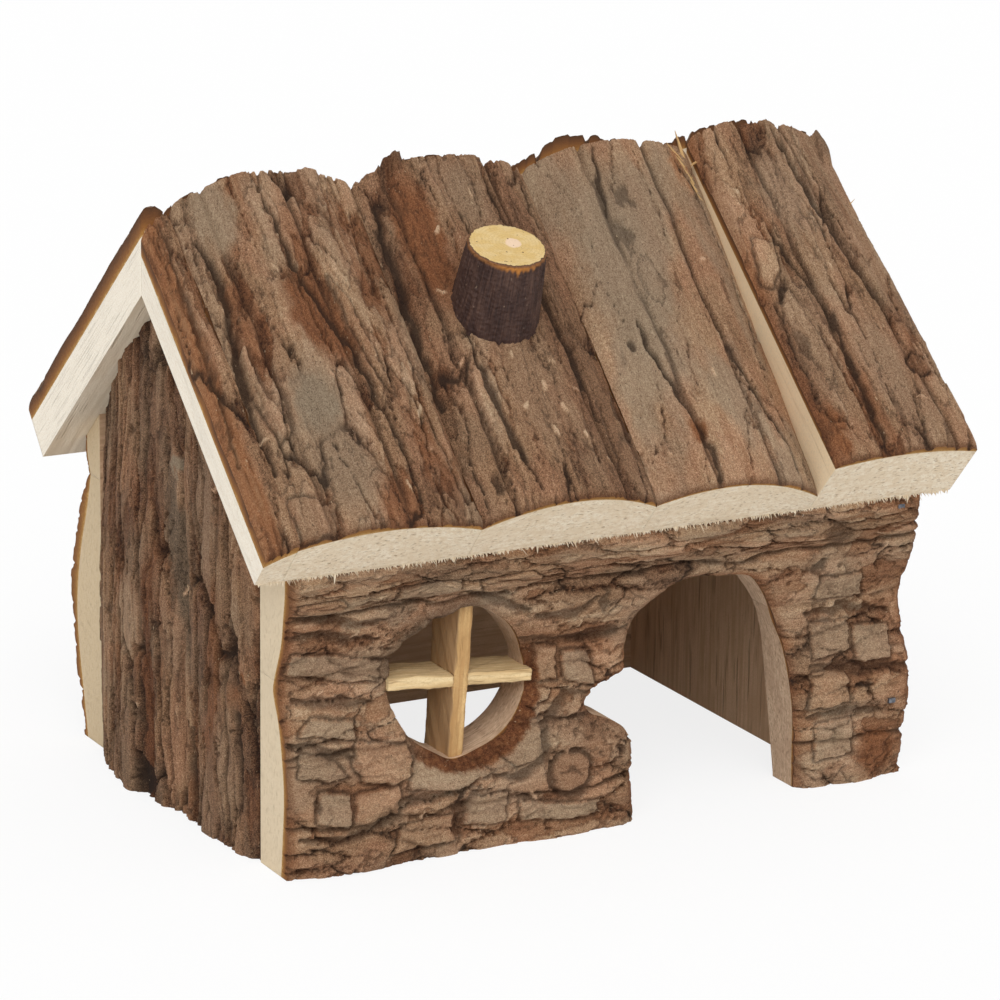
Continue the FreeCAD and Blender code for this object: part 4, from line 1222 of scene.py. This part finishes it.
def build_walls():
    """Three slabs of the front wall, cut by doorway and window, and two of the back wall."""
    whole, lower, upper = (-WALL_END, WALL_END), (0, FRONT_JOINT), (FRONT_JOINT, WALL_TOP)
    front = wall_top(FRONT_BARK, FRONT_WOOD, "scaly", FRONT_SEED, front_paint, FRONT_FURROWS)
    back = wall_top(BACK_LOWER_BARK, BACK_LOWER_WOOD, "scaly", BACK_LOWER_SEED, wall_paint,
                    BACK_FURROWS)
    cap = wall_top(BACK_CAP_BARK, BACK_CAP_WOOD, "streaky", BACK_UPPER_SEED, wall_paint)
    for name, node, span, heights, top, bevel, holes in (
            ("front_wall_lower", "front_wall_lower_slab", (-WALL_END, DOOR_MIDDLE), lower, front,
             None, (DOOR, WINDOW)),
            ("front_door_post", "front_wall_door_post", (DOOR_MIDDLE, WALL_END), lower, front,
             None, (DOOR,)),
            ("front_wall_upper", "front_wall_upper_slab", whole, upper, front, FRONT_BEVEL,
             (DOOR, WINDOW)),
            ("back_wall_lower", "back_wall_lower_slab", whole, (0, BACK_JOINT), back, None, ()),
            ("back_wall_upper", "back_wall_upper_slab", whole, (BACK_JOINT, WALL_TOP), cap,
             BACK_JOINT, ())):
        side, spacing, sawn = ((-1, FRONT_GRID, "wall_wood") if "front" in name
                               else (1, REAR_GRID, "rear_wood"))
        slab_mesh("bark_" + name, node, grid_axis(*span, spacing), grid_axis(*heights, spacing),
                  top, wall_place(side, bevel),
                  (bark, rim, woods[sawn], woods["inner_wood"], woods["reveal_wood_painted_shade"]),
                  grain="u", holes=holes)


# Gables

GABLE_SEAM = -9.0
# Millimetres by which the slabs get thinner towards the top at the back
GABLE_TAPER = 3.0
GABLE_BARK = 3.0
# Ends along y, thickness left, right and rise of the crown, and the places of the furrows
GABLE_SLABS = {
    "front": (-HALF_DEPTH, GABLE_SEAM, (19.0, 21.3, 2.2), (-36.0, -18.7)),
    "back": (GABLE_SEAM, HALF_DEPTH, (21.3, 19.0, 5.7), (10.5, 30.0)),
}
GABLE_SEED, GABLE_SEED_STEP = 31000, 500
# Any height does here, because gable_end gives the top
GABLE_GRID_HEIGHT = 100


def paint_left_gable(face):
    """Deep dark furrows with painted shade on their floors, worn patches and three splits."""
    face.patch((7.0, 33.0), (2.8, 32.0), edge=0.3, raised=-0.6, tone=0.30, red=0.8)
    face.patch((-7.5, 68.0), (4.2, 24.0), turn=-12, edge=0.4, raised=-0.6, tone=0.30, red=0.1,
               grey=0.8)
    face.patch((18.0, 47.0), (8.0, 10.0), edge=0.4, flat=0.5, tone=0.70, red=0.2, grey=0.4)
    face.patch((-25.0, 82.0), (5.0, 16.0), edge=0.5, flat=0.3, tone=0.56, red=0.2, grey=0.5)
    face.patch((-28.0, 40.0), (4.0, 24.0), edge=0.5, tone=0.46, red=0.7)
    face.crack([(-13.0, 26.0), (-14.6, 12.0), (-16.1, 0.8)], 2.2, 2.0)
    face.crack([(-37.1, 74.0), (-39.0, 50.0), (-42.6, 12.0)], 1.3, 1.6)
    face.crack([(24.0, 60.0), (23.0, 30.0), (25.0, 4.0)], 1.2, 1.4)
    face.patch((-39.4, 40.5), (2.6, 3.6), raised=0.7, tone=0.52, red=0.6, dark=0.1)
    face.patch((-42.6, 46.0), (0.9, 1.2), tone=0.7, red=1.0, dark=0.0)
    face.patch((-6.1, 92.5), (3.0, 2.4), tone=0.66, grey=1.0, red=0.0, shake=2.5)
    chip(face, [(-12.0, 62.0), (-9.0, 60.0), (12.0, 24.0), (-30.0, 92.0)])


def gable_place(side):
    """Places on the left (-1) or right (+1) gable."""
    def place(u, v, h):
        return side * (GABLE_INNER + h), u, v
    return place


def gable_end(u):
    """Height of the roof's inner plane over a gable."""
    return RIDGE_Z - np.abs(u) * math.tan(PITCH)


def gable_top(side, edges, furrows, seed):
    """Bark and wood heights of a gable slab."""
    def top(u, v, border, hole_gap):
        share, sides = share_across(u)
        outside = crown(*edges, share) - GABLE_TAPER * smooth(v, 45, 120) * smooth(u, -12, 4)
        face = Face(u, v, "furrowed", seed)
        for place in furrows:
            face.furrow(place)
        if side < 0:
            paint_left_gable(face)
        surface = outside + face.height - 0.8 * np.exp(-(sides / 0.8) ** 2)
        return surface, outside - GABLE_BARK, face
    return top


def build_gables():
    """Two upright slabs on each side."""
    for side, word, spacing in ((-1, "left", GABLE_GRID), (1, "right", REAR_GRID)):
        for part, (near, far, edges, furrows) in GABLE_SLABS.items():
            u_axis = grid_axis(near, far, spacing)
            if near < 0 < far:
                # a grid line lies under the ridge
                u_axis[np.argmin(np.abs(u_axis))] = 0.0
            seed = GABLE_SEED + GABLE_SEED_STEP * side + len(part)
            slab_mesh(f"bark_{word}_gable_{part}", f"{word}_gable_{part}_slab", u_axis,
                      grid_axis(0, GABLE_GRID_HEIGHT, spacing * 0.8),
                      gable_top(side, edges, furrows, seed), gable_place(side),
                      (bark, rim, woods["sawn_wood"], woods["inner_wood"]), far=gable_end)


# Chimney: a short branch with dark fluted bark and a pale sawn top, in millimetres

CHIMNEY_TILT = math.radians(20.2)
CHIMNEY_TOP_RADIUS = 10.0
CHIMNEY_FLARE = 0.078
CHIMNEY_BARK = 0.35
CHIMNEY_SINK = 0.8
CHIMNEY_DROP = 1.4
CHIMNEY_DOME = 0.35
# How far down the foot is looked for, and the depth taken where it isn't found
CHIMNEY_REACH, CHIMNEY_FOOT = 46, 30.0
# The pattern is unrolled at this radius
UNROLLED = 11.0
# Points round the branch, rings of the cut top, rows of the bark
AROUND, TOP_RINGS, BARK_ROWS = 288, 22, 90

chimney_low, chimney_high = node_box("chimney")
CHIMNEY_TOP = np.array([
    (chimney_low[0] + chimney_high[0]) / 2,
    chimney_low[1] + CHIMNEY_TOP_RADIUS * math.cos(CHIMNEY_TILT),
    chimney_high[2] - CHIMNEY_TOP_RADIUS * math.sin(CHIMNEY_TILT) - CHIMNEY_DROP])
CHIMNEY_AXIS = np.array([0.0, -math.sin(CHIMNEY_TILT), math.cos(CHIMNEY_TILT)])
CHIMNEY_SIDE = np.array([1.0, 0.0, 0.0])
CHIMNEY_FRONT = np.array([0.0, -math.cos(CHIMNEY_TILT), -math.sin(CHIMNEY_TILT)])


def above_roof(y, z):
    """Distance down the front slope from the ridge and height over its inner plane."""
    forward, drop = -y, RIDGE_Z - z
    down = forward * math.cos(PITCH) + drop * math.sin(PITCH)
    return down, forward * math.sin(PITCH) - drop * math.cos(PITCH)


def outward(theta):
    """Direction away from the branch's axis."""
    return np.cos(theta)[..., None] * CHIMNEY_SIDE + np.sin(theta)[..., None] * CHIMNEY_FRONT


def branch_surface(reach, theta, depth):
    """A place on the bark at a depth below the cut.  The flutes grow with reach."""
    around = theta * UNROLLED
    flute = noise(around / 1.5, depth / 14, 501) + 0.6 * noise(around / 0.7, depth / 8, 502)
    warp = 0.35 * noise(np.cos(theta) * 1.2 + 5, np.sin(theta) * 1.2, 503)
    radius = (CHIMNEY_TOP_RADIUS + CHIMNEY_FLARE * depth) * (1 + 0.035 * warp)
    radius = radius + 0.30 * np.clip(flute, -1, 0.6) * reach
    return CHIMNEY_TOP - depth[..., None] * CHIMNEY_AXIS + radius[..., None] * outward(theta)


def branch_foot(angle):
    """Depth at which the bark meets the roof slab, for each angle."""
    slab_low, slab_high = node_box("roof_front_slab_2")
    eave, ridge = ROOF_SLABS["roof_front_slab_2"][:2]
    depths = np.linspace(0, CHIMNEY_REACH, 231)
    line = branch_surface(np.ones((len(angle), 1)), angle[:, None],
                          depths[None, :] + 0 * angle[:, None])
    down, height = above_roof(line[..., 1], line[..., 2])
    share = (line[..., 0] - slab_low[0]) / (slab_high[0] - slab_low[0])
    part = np.clip(down / SLOPE, 0, 1)
    bark_height = crown(*ridge, share) * (1 - part) + crown(*eave, share) * part
    clear = height - bark_height + CHIMNEY_SINK
    foot = np.array([depths[np.argmax(row < 0)] if (row < 0).any() else CHIMNEY_FOOT
                     for row in clear])
    return (np.roll(foot, 1) + foot * 2 + np.roll(foot, -1)) / 4


def build_chimney():
    """The branch from its cut top down to the roof."""
    angle = np.arange(AROUND) * 2 * math.pi / AROUND
    # cut top, from its middle to the edge of the bark
    corners, local, gold = [CHIMNEY_TOP + CHIMNEY_DOME * CHIMNEY_AXIS], [np.zeros(3)], [0.0]
    kinds = [BRANCH_CUT] * AROUND
    edge = branch_surface(np.ones(AROUND), angle, np.zeros(AROUND))
    for number in range(1, TOP_RINGS + 1):
        step = np.linspace(0, 1, TOP_RINGS + 1)[number]
        ring = CHIMNEY_TOP + (edge - CHIMNEY_TOP) * step
        inner = step < 1 - CHIMNEY_BARK / CHIMNEY_TOP_RADIUS
        wobble = 0.12 * noise(ring[:, 0] / 2.5, ring[:, 1] / 2.5, 510)
        lift = (CHIMNEY_DOME if inner else 0.1) + wobble
        lift = lift + 0.12 * noise(ring[:, 0] * 1.4, ring[:, 1] * 1.4, 511)
        if number == TOP_RINGS:
            lift = lift * 0 - 0.15
        corners.extend(ring + lift[:, None] * CHIMNEY_AXIS)
        flat = ring - CHIMNEY_TOP
        local.extend(np.stack([flat @ CHIMNEY_SIDE, flat @ CHIMNEY_FRONT, 0 * lift], 1))
        gold.extend([0.0 if inner else 0.5] * AROUND)
        if number > 1:
            kinds += [BRANCH_CUT if inner else BRANCH_BARK] * AROUND
    # bark side, golden near the cut and where the bark is scraped at the front
    foot = branch_foot(angle)
    for row in range(1, BARK_ROWS + 1):
        depth = foot * row / BARK_ROWS
        reach = np.full(AROUND, smooth(np.array(row / 6.0), 0, 1))
        ragged = 0.16 * fractal(angle * 9, depth * 1.2, 505, 3)
        corners.extend(branch_surface(reach, angle, depth) + ragged[:, None] * outward(angle))
        local.extend(np.stack([angle * UNROLLED, depth, 0 * depth], 1))
        facing = np.exp(-((angle - 1.75) / 0.55) ** 2)
        long = 1.0 + 2.6 * facing * np.clip(0.4 + noise(angle * 9, 0 * depth, 512), 0, 1)
        gold.extend((0.35 + 0.65 * facing) * (1 - smooth(depth, 0.3 * long, long)))
    # hidden foot
    base, tip = len(corners) - AROUND, len(corners)
    corners.append(np.mean(corners[base:], axis=0))
    local.append(np.zeros(3))
    gold.append(0.0)
    kinds += [BRANCH_BARK] * AROUND * (BARK_ROWS + 1)
    polygons = ([(0, 1 + i, 1 + (i + 1) % AROUND) for i in range(AROUND)]
                + tube_faces(AROUND, TOP_RINGS + BARK_ROWS, first=1)
                + [(base + (i + 1) % AROUND, base + i, tip) for i in range(AROUND)])
    mesh = closed_mesh("branch_chimney", corners, polygons,
                       np.array(local) + (BRANCH_PATTERN, 0, 0), gold, kinds)
    finish_piece("branch_chimney", mesh, (branch_bark, branch_top), ["chimney"])


# Window cross, in millimetres

CROSS_TURN = math.radians(4.0)
CROSS_INNER = HALF_DEPTH - 1.6
CROSS_DEPTH = 14.0
CROSS_REACH = WINDOW_RADIUS + 0.5
CROSS_STEP = 0.4
UPRIGHT_WIDTH = 4.0
CROSSBAR_HEIGHT = 3.2
CROSSBAR_SETBACK = 0.5


def bar_rows(lap_half, lap_front, outer):
    """Shares along a stick, each with its inner and outer depth; half as deep at the lap."""
    middle = CROSS_INNER + CROSS_DEPTH / 2
    lapped = (middle, outer) if lap_front else (CROSS_INNER, middle)
    lap = lap_half / CROSS_REACH
    rows = []
    for low, high, (near, far) in ((-1, -lap, (CROSS_INNER, outer)), (-lap, lap, lapped),
                                   (lap, 1, (CROSS_INNER, outer))):
        steps = max(2, int(round((high - low) * CROSS_REACH / CROSS_STEP)))
        rows += [(low + (high - low) * i / steps, near, far) for i in range(steps + 1)]
    return rows


def bar_mesh(name, node, width, lap_half, lap_front, setback, upright, material, seed):
    """A rough stick across the window, half-lapped at the middle."""
    across, deep = np.linspace(-1, 1, 11)[:-1], np.linspace(0, 1, 34)[:-1]
    ring = np.array([(a, 1.0) for a in across] + [(1.0, 1 - d) for d in deep]
                    + [(-a, 0.0) for a in across] + [(-1.0, d) for d in deep])
    sideways, outside = ring.T
    flank, count = np.abs(sideways), len(ring)
    w = sideways * width / 2
    # worn corners
    worn = 0.35 * (flank > 0.97) * ((outside > 0.97) | (outside < 0.03))
    rows = bar_rows(lap_half, lap_front, CROSS_INNER + CROSS_DEPTH - setback)
    corners, local = [], []
    for share, near, far in rows:
        d = near + outside * (far - near)
        along = share * np.sqrt(CROSS_REACH ** 2 - w ** 2)
        # torn fibres
        rough = 0.22 * fractal(w / 0.9 + 7, along / 5 + d / 3, seed, 3)
        belly = 0.35 * noise(along / 9, 0 * along, seed + 4)
        rough_w = w * (1 - worn / width) + (rough + belly) * np.where(flank > 0.9, 1, 0.3)
        furry = 0.30 * fractal(w / 0.8, along / 3.2, seed + 2, 4)
        rough_d = d + np.where(outside > 0.9, furry - worn - 0.15, 0)
        corners.append(np.stack([rough_w, rough_d, along], 1))
        local.append(np.stack([w, along, d], 1))
    tips = [corners[0].mean(axis=0), corners[-1].mean(axis=0)]
    corners, local = np.concatenate(corners + [tips]), np.concatenate(local + [np.zeros((2, 3))])
    tip, last = len(rows) * count, (len(rows) - 1) * count
    polygons = tube_faces(count, len(rows))
    for i in range(count):
        j = (i + 1) % count
        polygons += [(tip, i, j), (tip + 1, last + j, last + i)]
    beside, depth, up = corners.T if upright else corners[:, ::-1].T
    c, s = math.cos(CROSS_TURN), math.sin(CROSS_TURN)
    x = WINDOW_CENTRE[0] + c * beside + s * up
    z = WINDOW_CENTRE[1] - s * beside + c * up
    mesh = closed_mesh(name, np.stack([x, -depth, z], 1), polygons, local)
    finish_piece(name, mesh, (material,), [node])


def build_cross():
    """The upright and the crossbar of the window."""
    bar_mesh("wood_window_upright", "window_upright", UPRIGHT_WIDTH, CROSSBAR_HEIGHT / 2, True,
             0.0, True, woods["upright_wood"], 701)
    bar_mesh("wood_window_crossbar", "window_crossbar", CROSSBAR_HEIGHT, UPRIGHT_WIDTH / 2, False,
             CROSSBAR_SETBACK, False, woods["crossbar_wood"], 711)


# Fibres and splinters

# Mean distance between the torn fibres that the saw left along the lower edge of the eave
FIBRE_STEP = 0.42
FIBRE_END = 99.0
# Splinters on the roof, as (across, along, height) of foot and tip, and half the width at the foot
SPLINTERS = (
    ((55.6, 4.0, 16.5), (50.0, 1.5, 21.0), 0.9), ((55.8, 6.0, 16.0), (51.4, 4.5, 20.4), 0.8),
    ((56.2, 8.5, 15.5), (52.6, 6.0, 19.4), 0.7), ((56.0, 10.5, 15.5), (53.2, 9.6, 18.8), 0.6),
    ((55.0, 2.0, 17.5), (53.5, -0.4, 21.8), 0.7), ((57.4, 5.0, 19.0), (54.0, 8.0, 20.6), 0.6),
    ((56.4, 13.0, 15.5), (54.0, 12.0, 18.0), 0.5), ((94.4, 19.6, 15.5), (99.6, 18.4, 18.4), 0.5),
    ((93.6, 3.0, 15.0), (98.8, 1.0, 18.2), 0.6), ((-33.5, 1.0, 16.0), (-30.5, -0.6, 20.4), 0.5),
)


def spike(corners, local, faces, foot, tip, half, bend):
    """A tapered four-sided splinter from foot to tip."""
    line = tip - foot
    side = np.cross(line, (0.2, 0.5, 0.9))
    side /= np.linalg.norm(side)
    other = np.cross(line, side)
    other /= np.linalg.norm(other)
    base = len(corners)
    for share, size in ((0.0, 1.0), (0.5, 0.7), (1.0, 0.12)):
        middle = foot + share * line + share * (share - 1) * bend
        for a, b in ((-1, 0), (0, -0.7), (1, 0), (0, 0.7)):
            corners.append(middle + half * size * (a * side + b * other))
            local.append((foot[0] + a * half, share * np.linalg.norm(line), b * half))
    for row in (base, base + 4):
        for i in range(4):
            j = (i + 1) % 4
            faces.append((row + i, row + j, row + 4 + j, row + 4 + i))
    for row in (base, base + 8):
        faces.append((row, row + 1, row + 2, row + 3))


def splinter_piece(name, spikes, material):
    """One piece of many splinters, which stands for no CAD node."""
    corners, faces, local = [], [], []
    for foot, tip, half, bend in spikes:
        spike(corners, local, faces, foot, tip, half, bend)
    finish_piece(name, closed_mesh(name, corners, faces, local, smooth_faces=False),
                 (material,), [])


def build_fibres():
    """Short hanging fibres with random gaps, lengths, leans and curls."""
    spikes = []
    eave_y = (RIDGE_Z - EAVE_Z) / math.tan(PITCH)
    x, number = -FIBRE_END, 0
    while x < FIBRE_END:
        chance = [lattice(np.array(number), np.array(field), 900) for field in range(6)]
        number += 1
        x += FIBRE_STEP * (0.3 + 1.4 * chance[0])
        length = 0.3 + 0.5 * chance[1] + 1.3 * chance[5] ** 6
        lean = (chance[3] - 0.5) * 1.6 * length
        curl = 0.25 + 0.9 * chance[4] * length
        foot = np.array([x, -eave_y + 0.15, EAVE_Z + 0.35])
        tip = foot + [lean, -curl, -(length + 0.35)]
        spikes.append((foot, tip, 0.16 + 0.30 * chance[2], np.array([0.0, 0.25 * curl, 0.0])))
    splinter_piece("eave_fibres", spikes, woods["sawn_wood"])


def build_splinters():
    """The few larger splinters on the roof."""
    place = roof_place(True)
    spikes = []
    for foot, tip, half in SPLINTERS:
        foot, tip = (np.array(place(*map(np.array, end))).reshape(3) for end in (foot, tip))
        spikes.append((foot, tip, half, np.array([0.0, 0.0, -0.8])))
    splinter_piece("roof_splinters", spikes, woods["upright_wood"])


build_roof()
build_walls()
build_gables()
build_chimney()
build_cross()
build_fibres()
build_splinters()

# Carried-over steel fasteners
for name in ("front_wall_brads", "back_wall_brads", "chimney_nail"):
    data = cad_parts[name].data
    data.materials.clear()
    data.materials.append(steel)

# Camera, floor and light

# The camera looks at its target from this side, height and distance in millimetres
CAMERA_AZIMUTH = math.radians(-28.29)
CAMERA_ELEVATION = math.radians(15.59)
CAMERA_ROLL = math.radians(0.71)
CAMERA_DISTANCE = 1202.38
CAMERA_TARGET = Vector((2.37, 0.0, 70.11))
# Focal length and picture width in pixels, which give the lens for the sensor's width
FOCAL_PIXELS = 4558.53
IMAGE_PIXELS = 1000
SENSOR = 36.0


def build_camera():
    """The camera that was fitted to the photo."""
    back = Vector((math.sin(CAMERA_AZIMUTH) * math.cos(CAMERA_ELEVATION),
                   -math.cos(CAMERA_AZIMUTH) * math.cos(CAMERA_ELEVATION),
                   math.sin(CAMERA_ELEVATION)))
    level = (-back).cross(Vector((0, 0, 1))).normalized()
    upright = level.cross(-back)
    right = math.cos(CAMERA_ROLL) * level + math.sin(CAMERA_ROLL) * upright
    up = -math.sin(CAMERA_ROLL) * level + math.cos(CAMERA_ROLL) * upright
    data = bpy.data.cameras.new("camera")
    data.sensor_width = SENSOR
    data.lens = SENSOR * FOCAL_PIXELS / IMAGE_PIXELS
    data.clip_start, data.clip_end = 0.05, 50.0
    camera = bpy.data.objects.new("camera", data)
    bpy.context.scene.collection.objects.link(camera)
    turn = Matrix((right, up, back)).transposed().to_4x4()
    camera.matrix_world = Matrix.Translation((CAMERA_TARGET + back * CAMERA_DISTANCE) * MM) @ turn
    bpy.context.scene.camera = camera


# Share of plain white that the floor shows to the camera
FLOOR_GLOW = 0.82
FLOOR_REACH = 8.0


def build_floor():
    """A wide white floor that keeps a faint shadow."""
    s = Shader("white_floor", roughness=0.9, specular=0.1, patterned=False)
    mottle = s.grain((40, 40, 40), detail=2)
    colour = s.mix(s.spread(mottle, 0.3, 0.7), rgb(255, 255, 255), rgb(254, 254, 254))
    glow, blend = s.node("ShaderNodeEmission"), s.node("ShaderNodeMixShader")
    s.link(s.math("MULTIPLY", s.seen(), FLOOR_GLOW), blend.inputs[0])
    s.link(s.surface.outputs[0], blend.inputs[1])
    s.link(glow.outputs[0], blend.inputs[2])
    s.link(blend.outputs[0], s.tree.nodes["Material Output"].inputs["Surface"])
    mesh = bpy.data.meshes.new("floor")
    mesh.from_pydata([(x * FLOOR_REACH, y * FLOOR_REACH, 0)
                      for x, y in ((-1, -1), (1, -1), (1, 1), (-1, 1))], [], [(0, 1, 2, 3)])
    mesh.materials.append(s.finish(colour))
    floor = bpy.data.objects.new("floor", mesh)
    bpy.context.scene.collection.objects.link(floor)


# Strength of the surroundings as they light the house; the camera sees them at full white
WORLD_LEVEL = 0.62
KEY_LEVEL = 1.55
KEY_DIRECTION = (-0.30, -0.62, 0.72)
KEY_SOFTNESS = math.radians(50)


def build_light():
    """Even surroundings and one soft key light."""
    world = bpy.data.worlds.new("studio")
    bpy.context.scene.world = world
    world.use_nodes = True
    nodes = Nodes(world.node_tree)
    background = nodes.tree.nodes["Background"]
    nodes.link(nodes.spread(nodes.seen(), 0, 1, WORLD_LEVEL, 1), background.inputs["Strength"])
    nodes.link((1, 1, 1), background.inputs["Color"])
    data = bpy.data.lights.new("key", "SUN")
    data.energy = KEY_LEVEL
    data.angle = KEY_SOFTNESS
    key = bpy.data.objects.new("key", data)
    key.rotation_mode = "QUATERNION"
    key.rotation_quaternion = Vector(KEY_DIRECTION).to_track_quat("Z", "Y")
    bpy.context.scene.collection.objects.link(key)


build_camera()
build_floor()
build_light()
bpy.context.scene.view_settings.view_transform = "Standard"
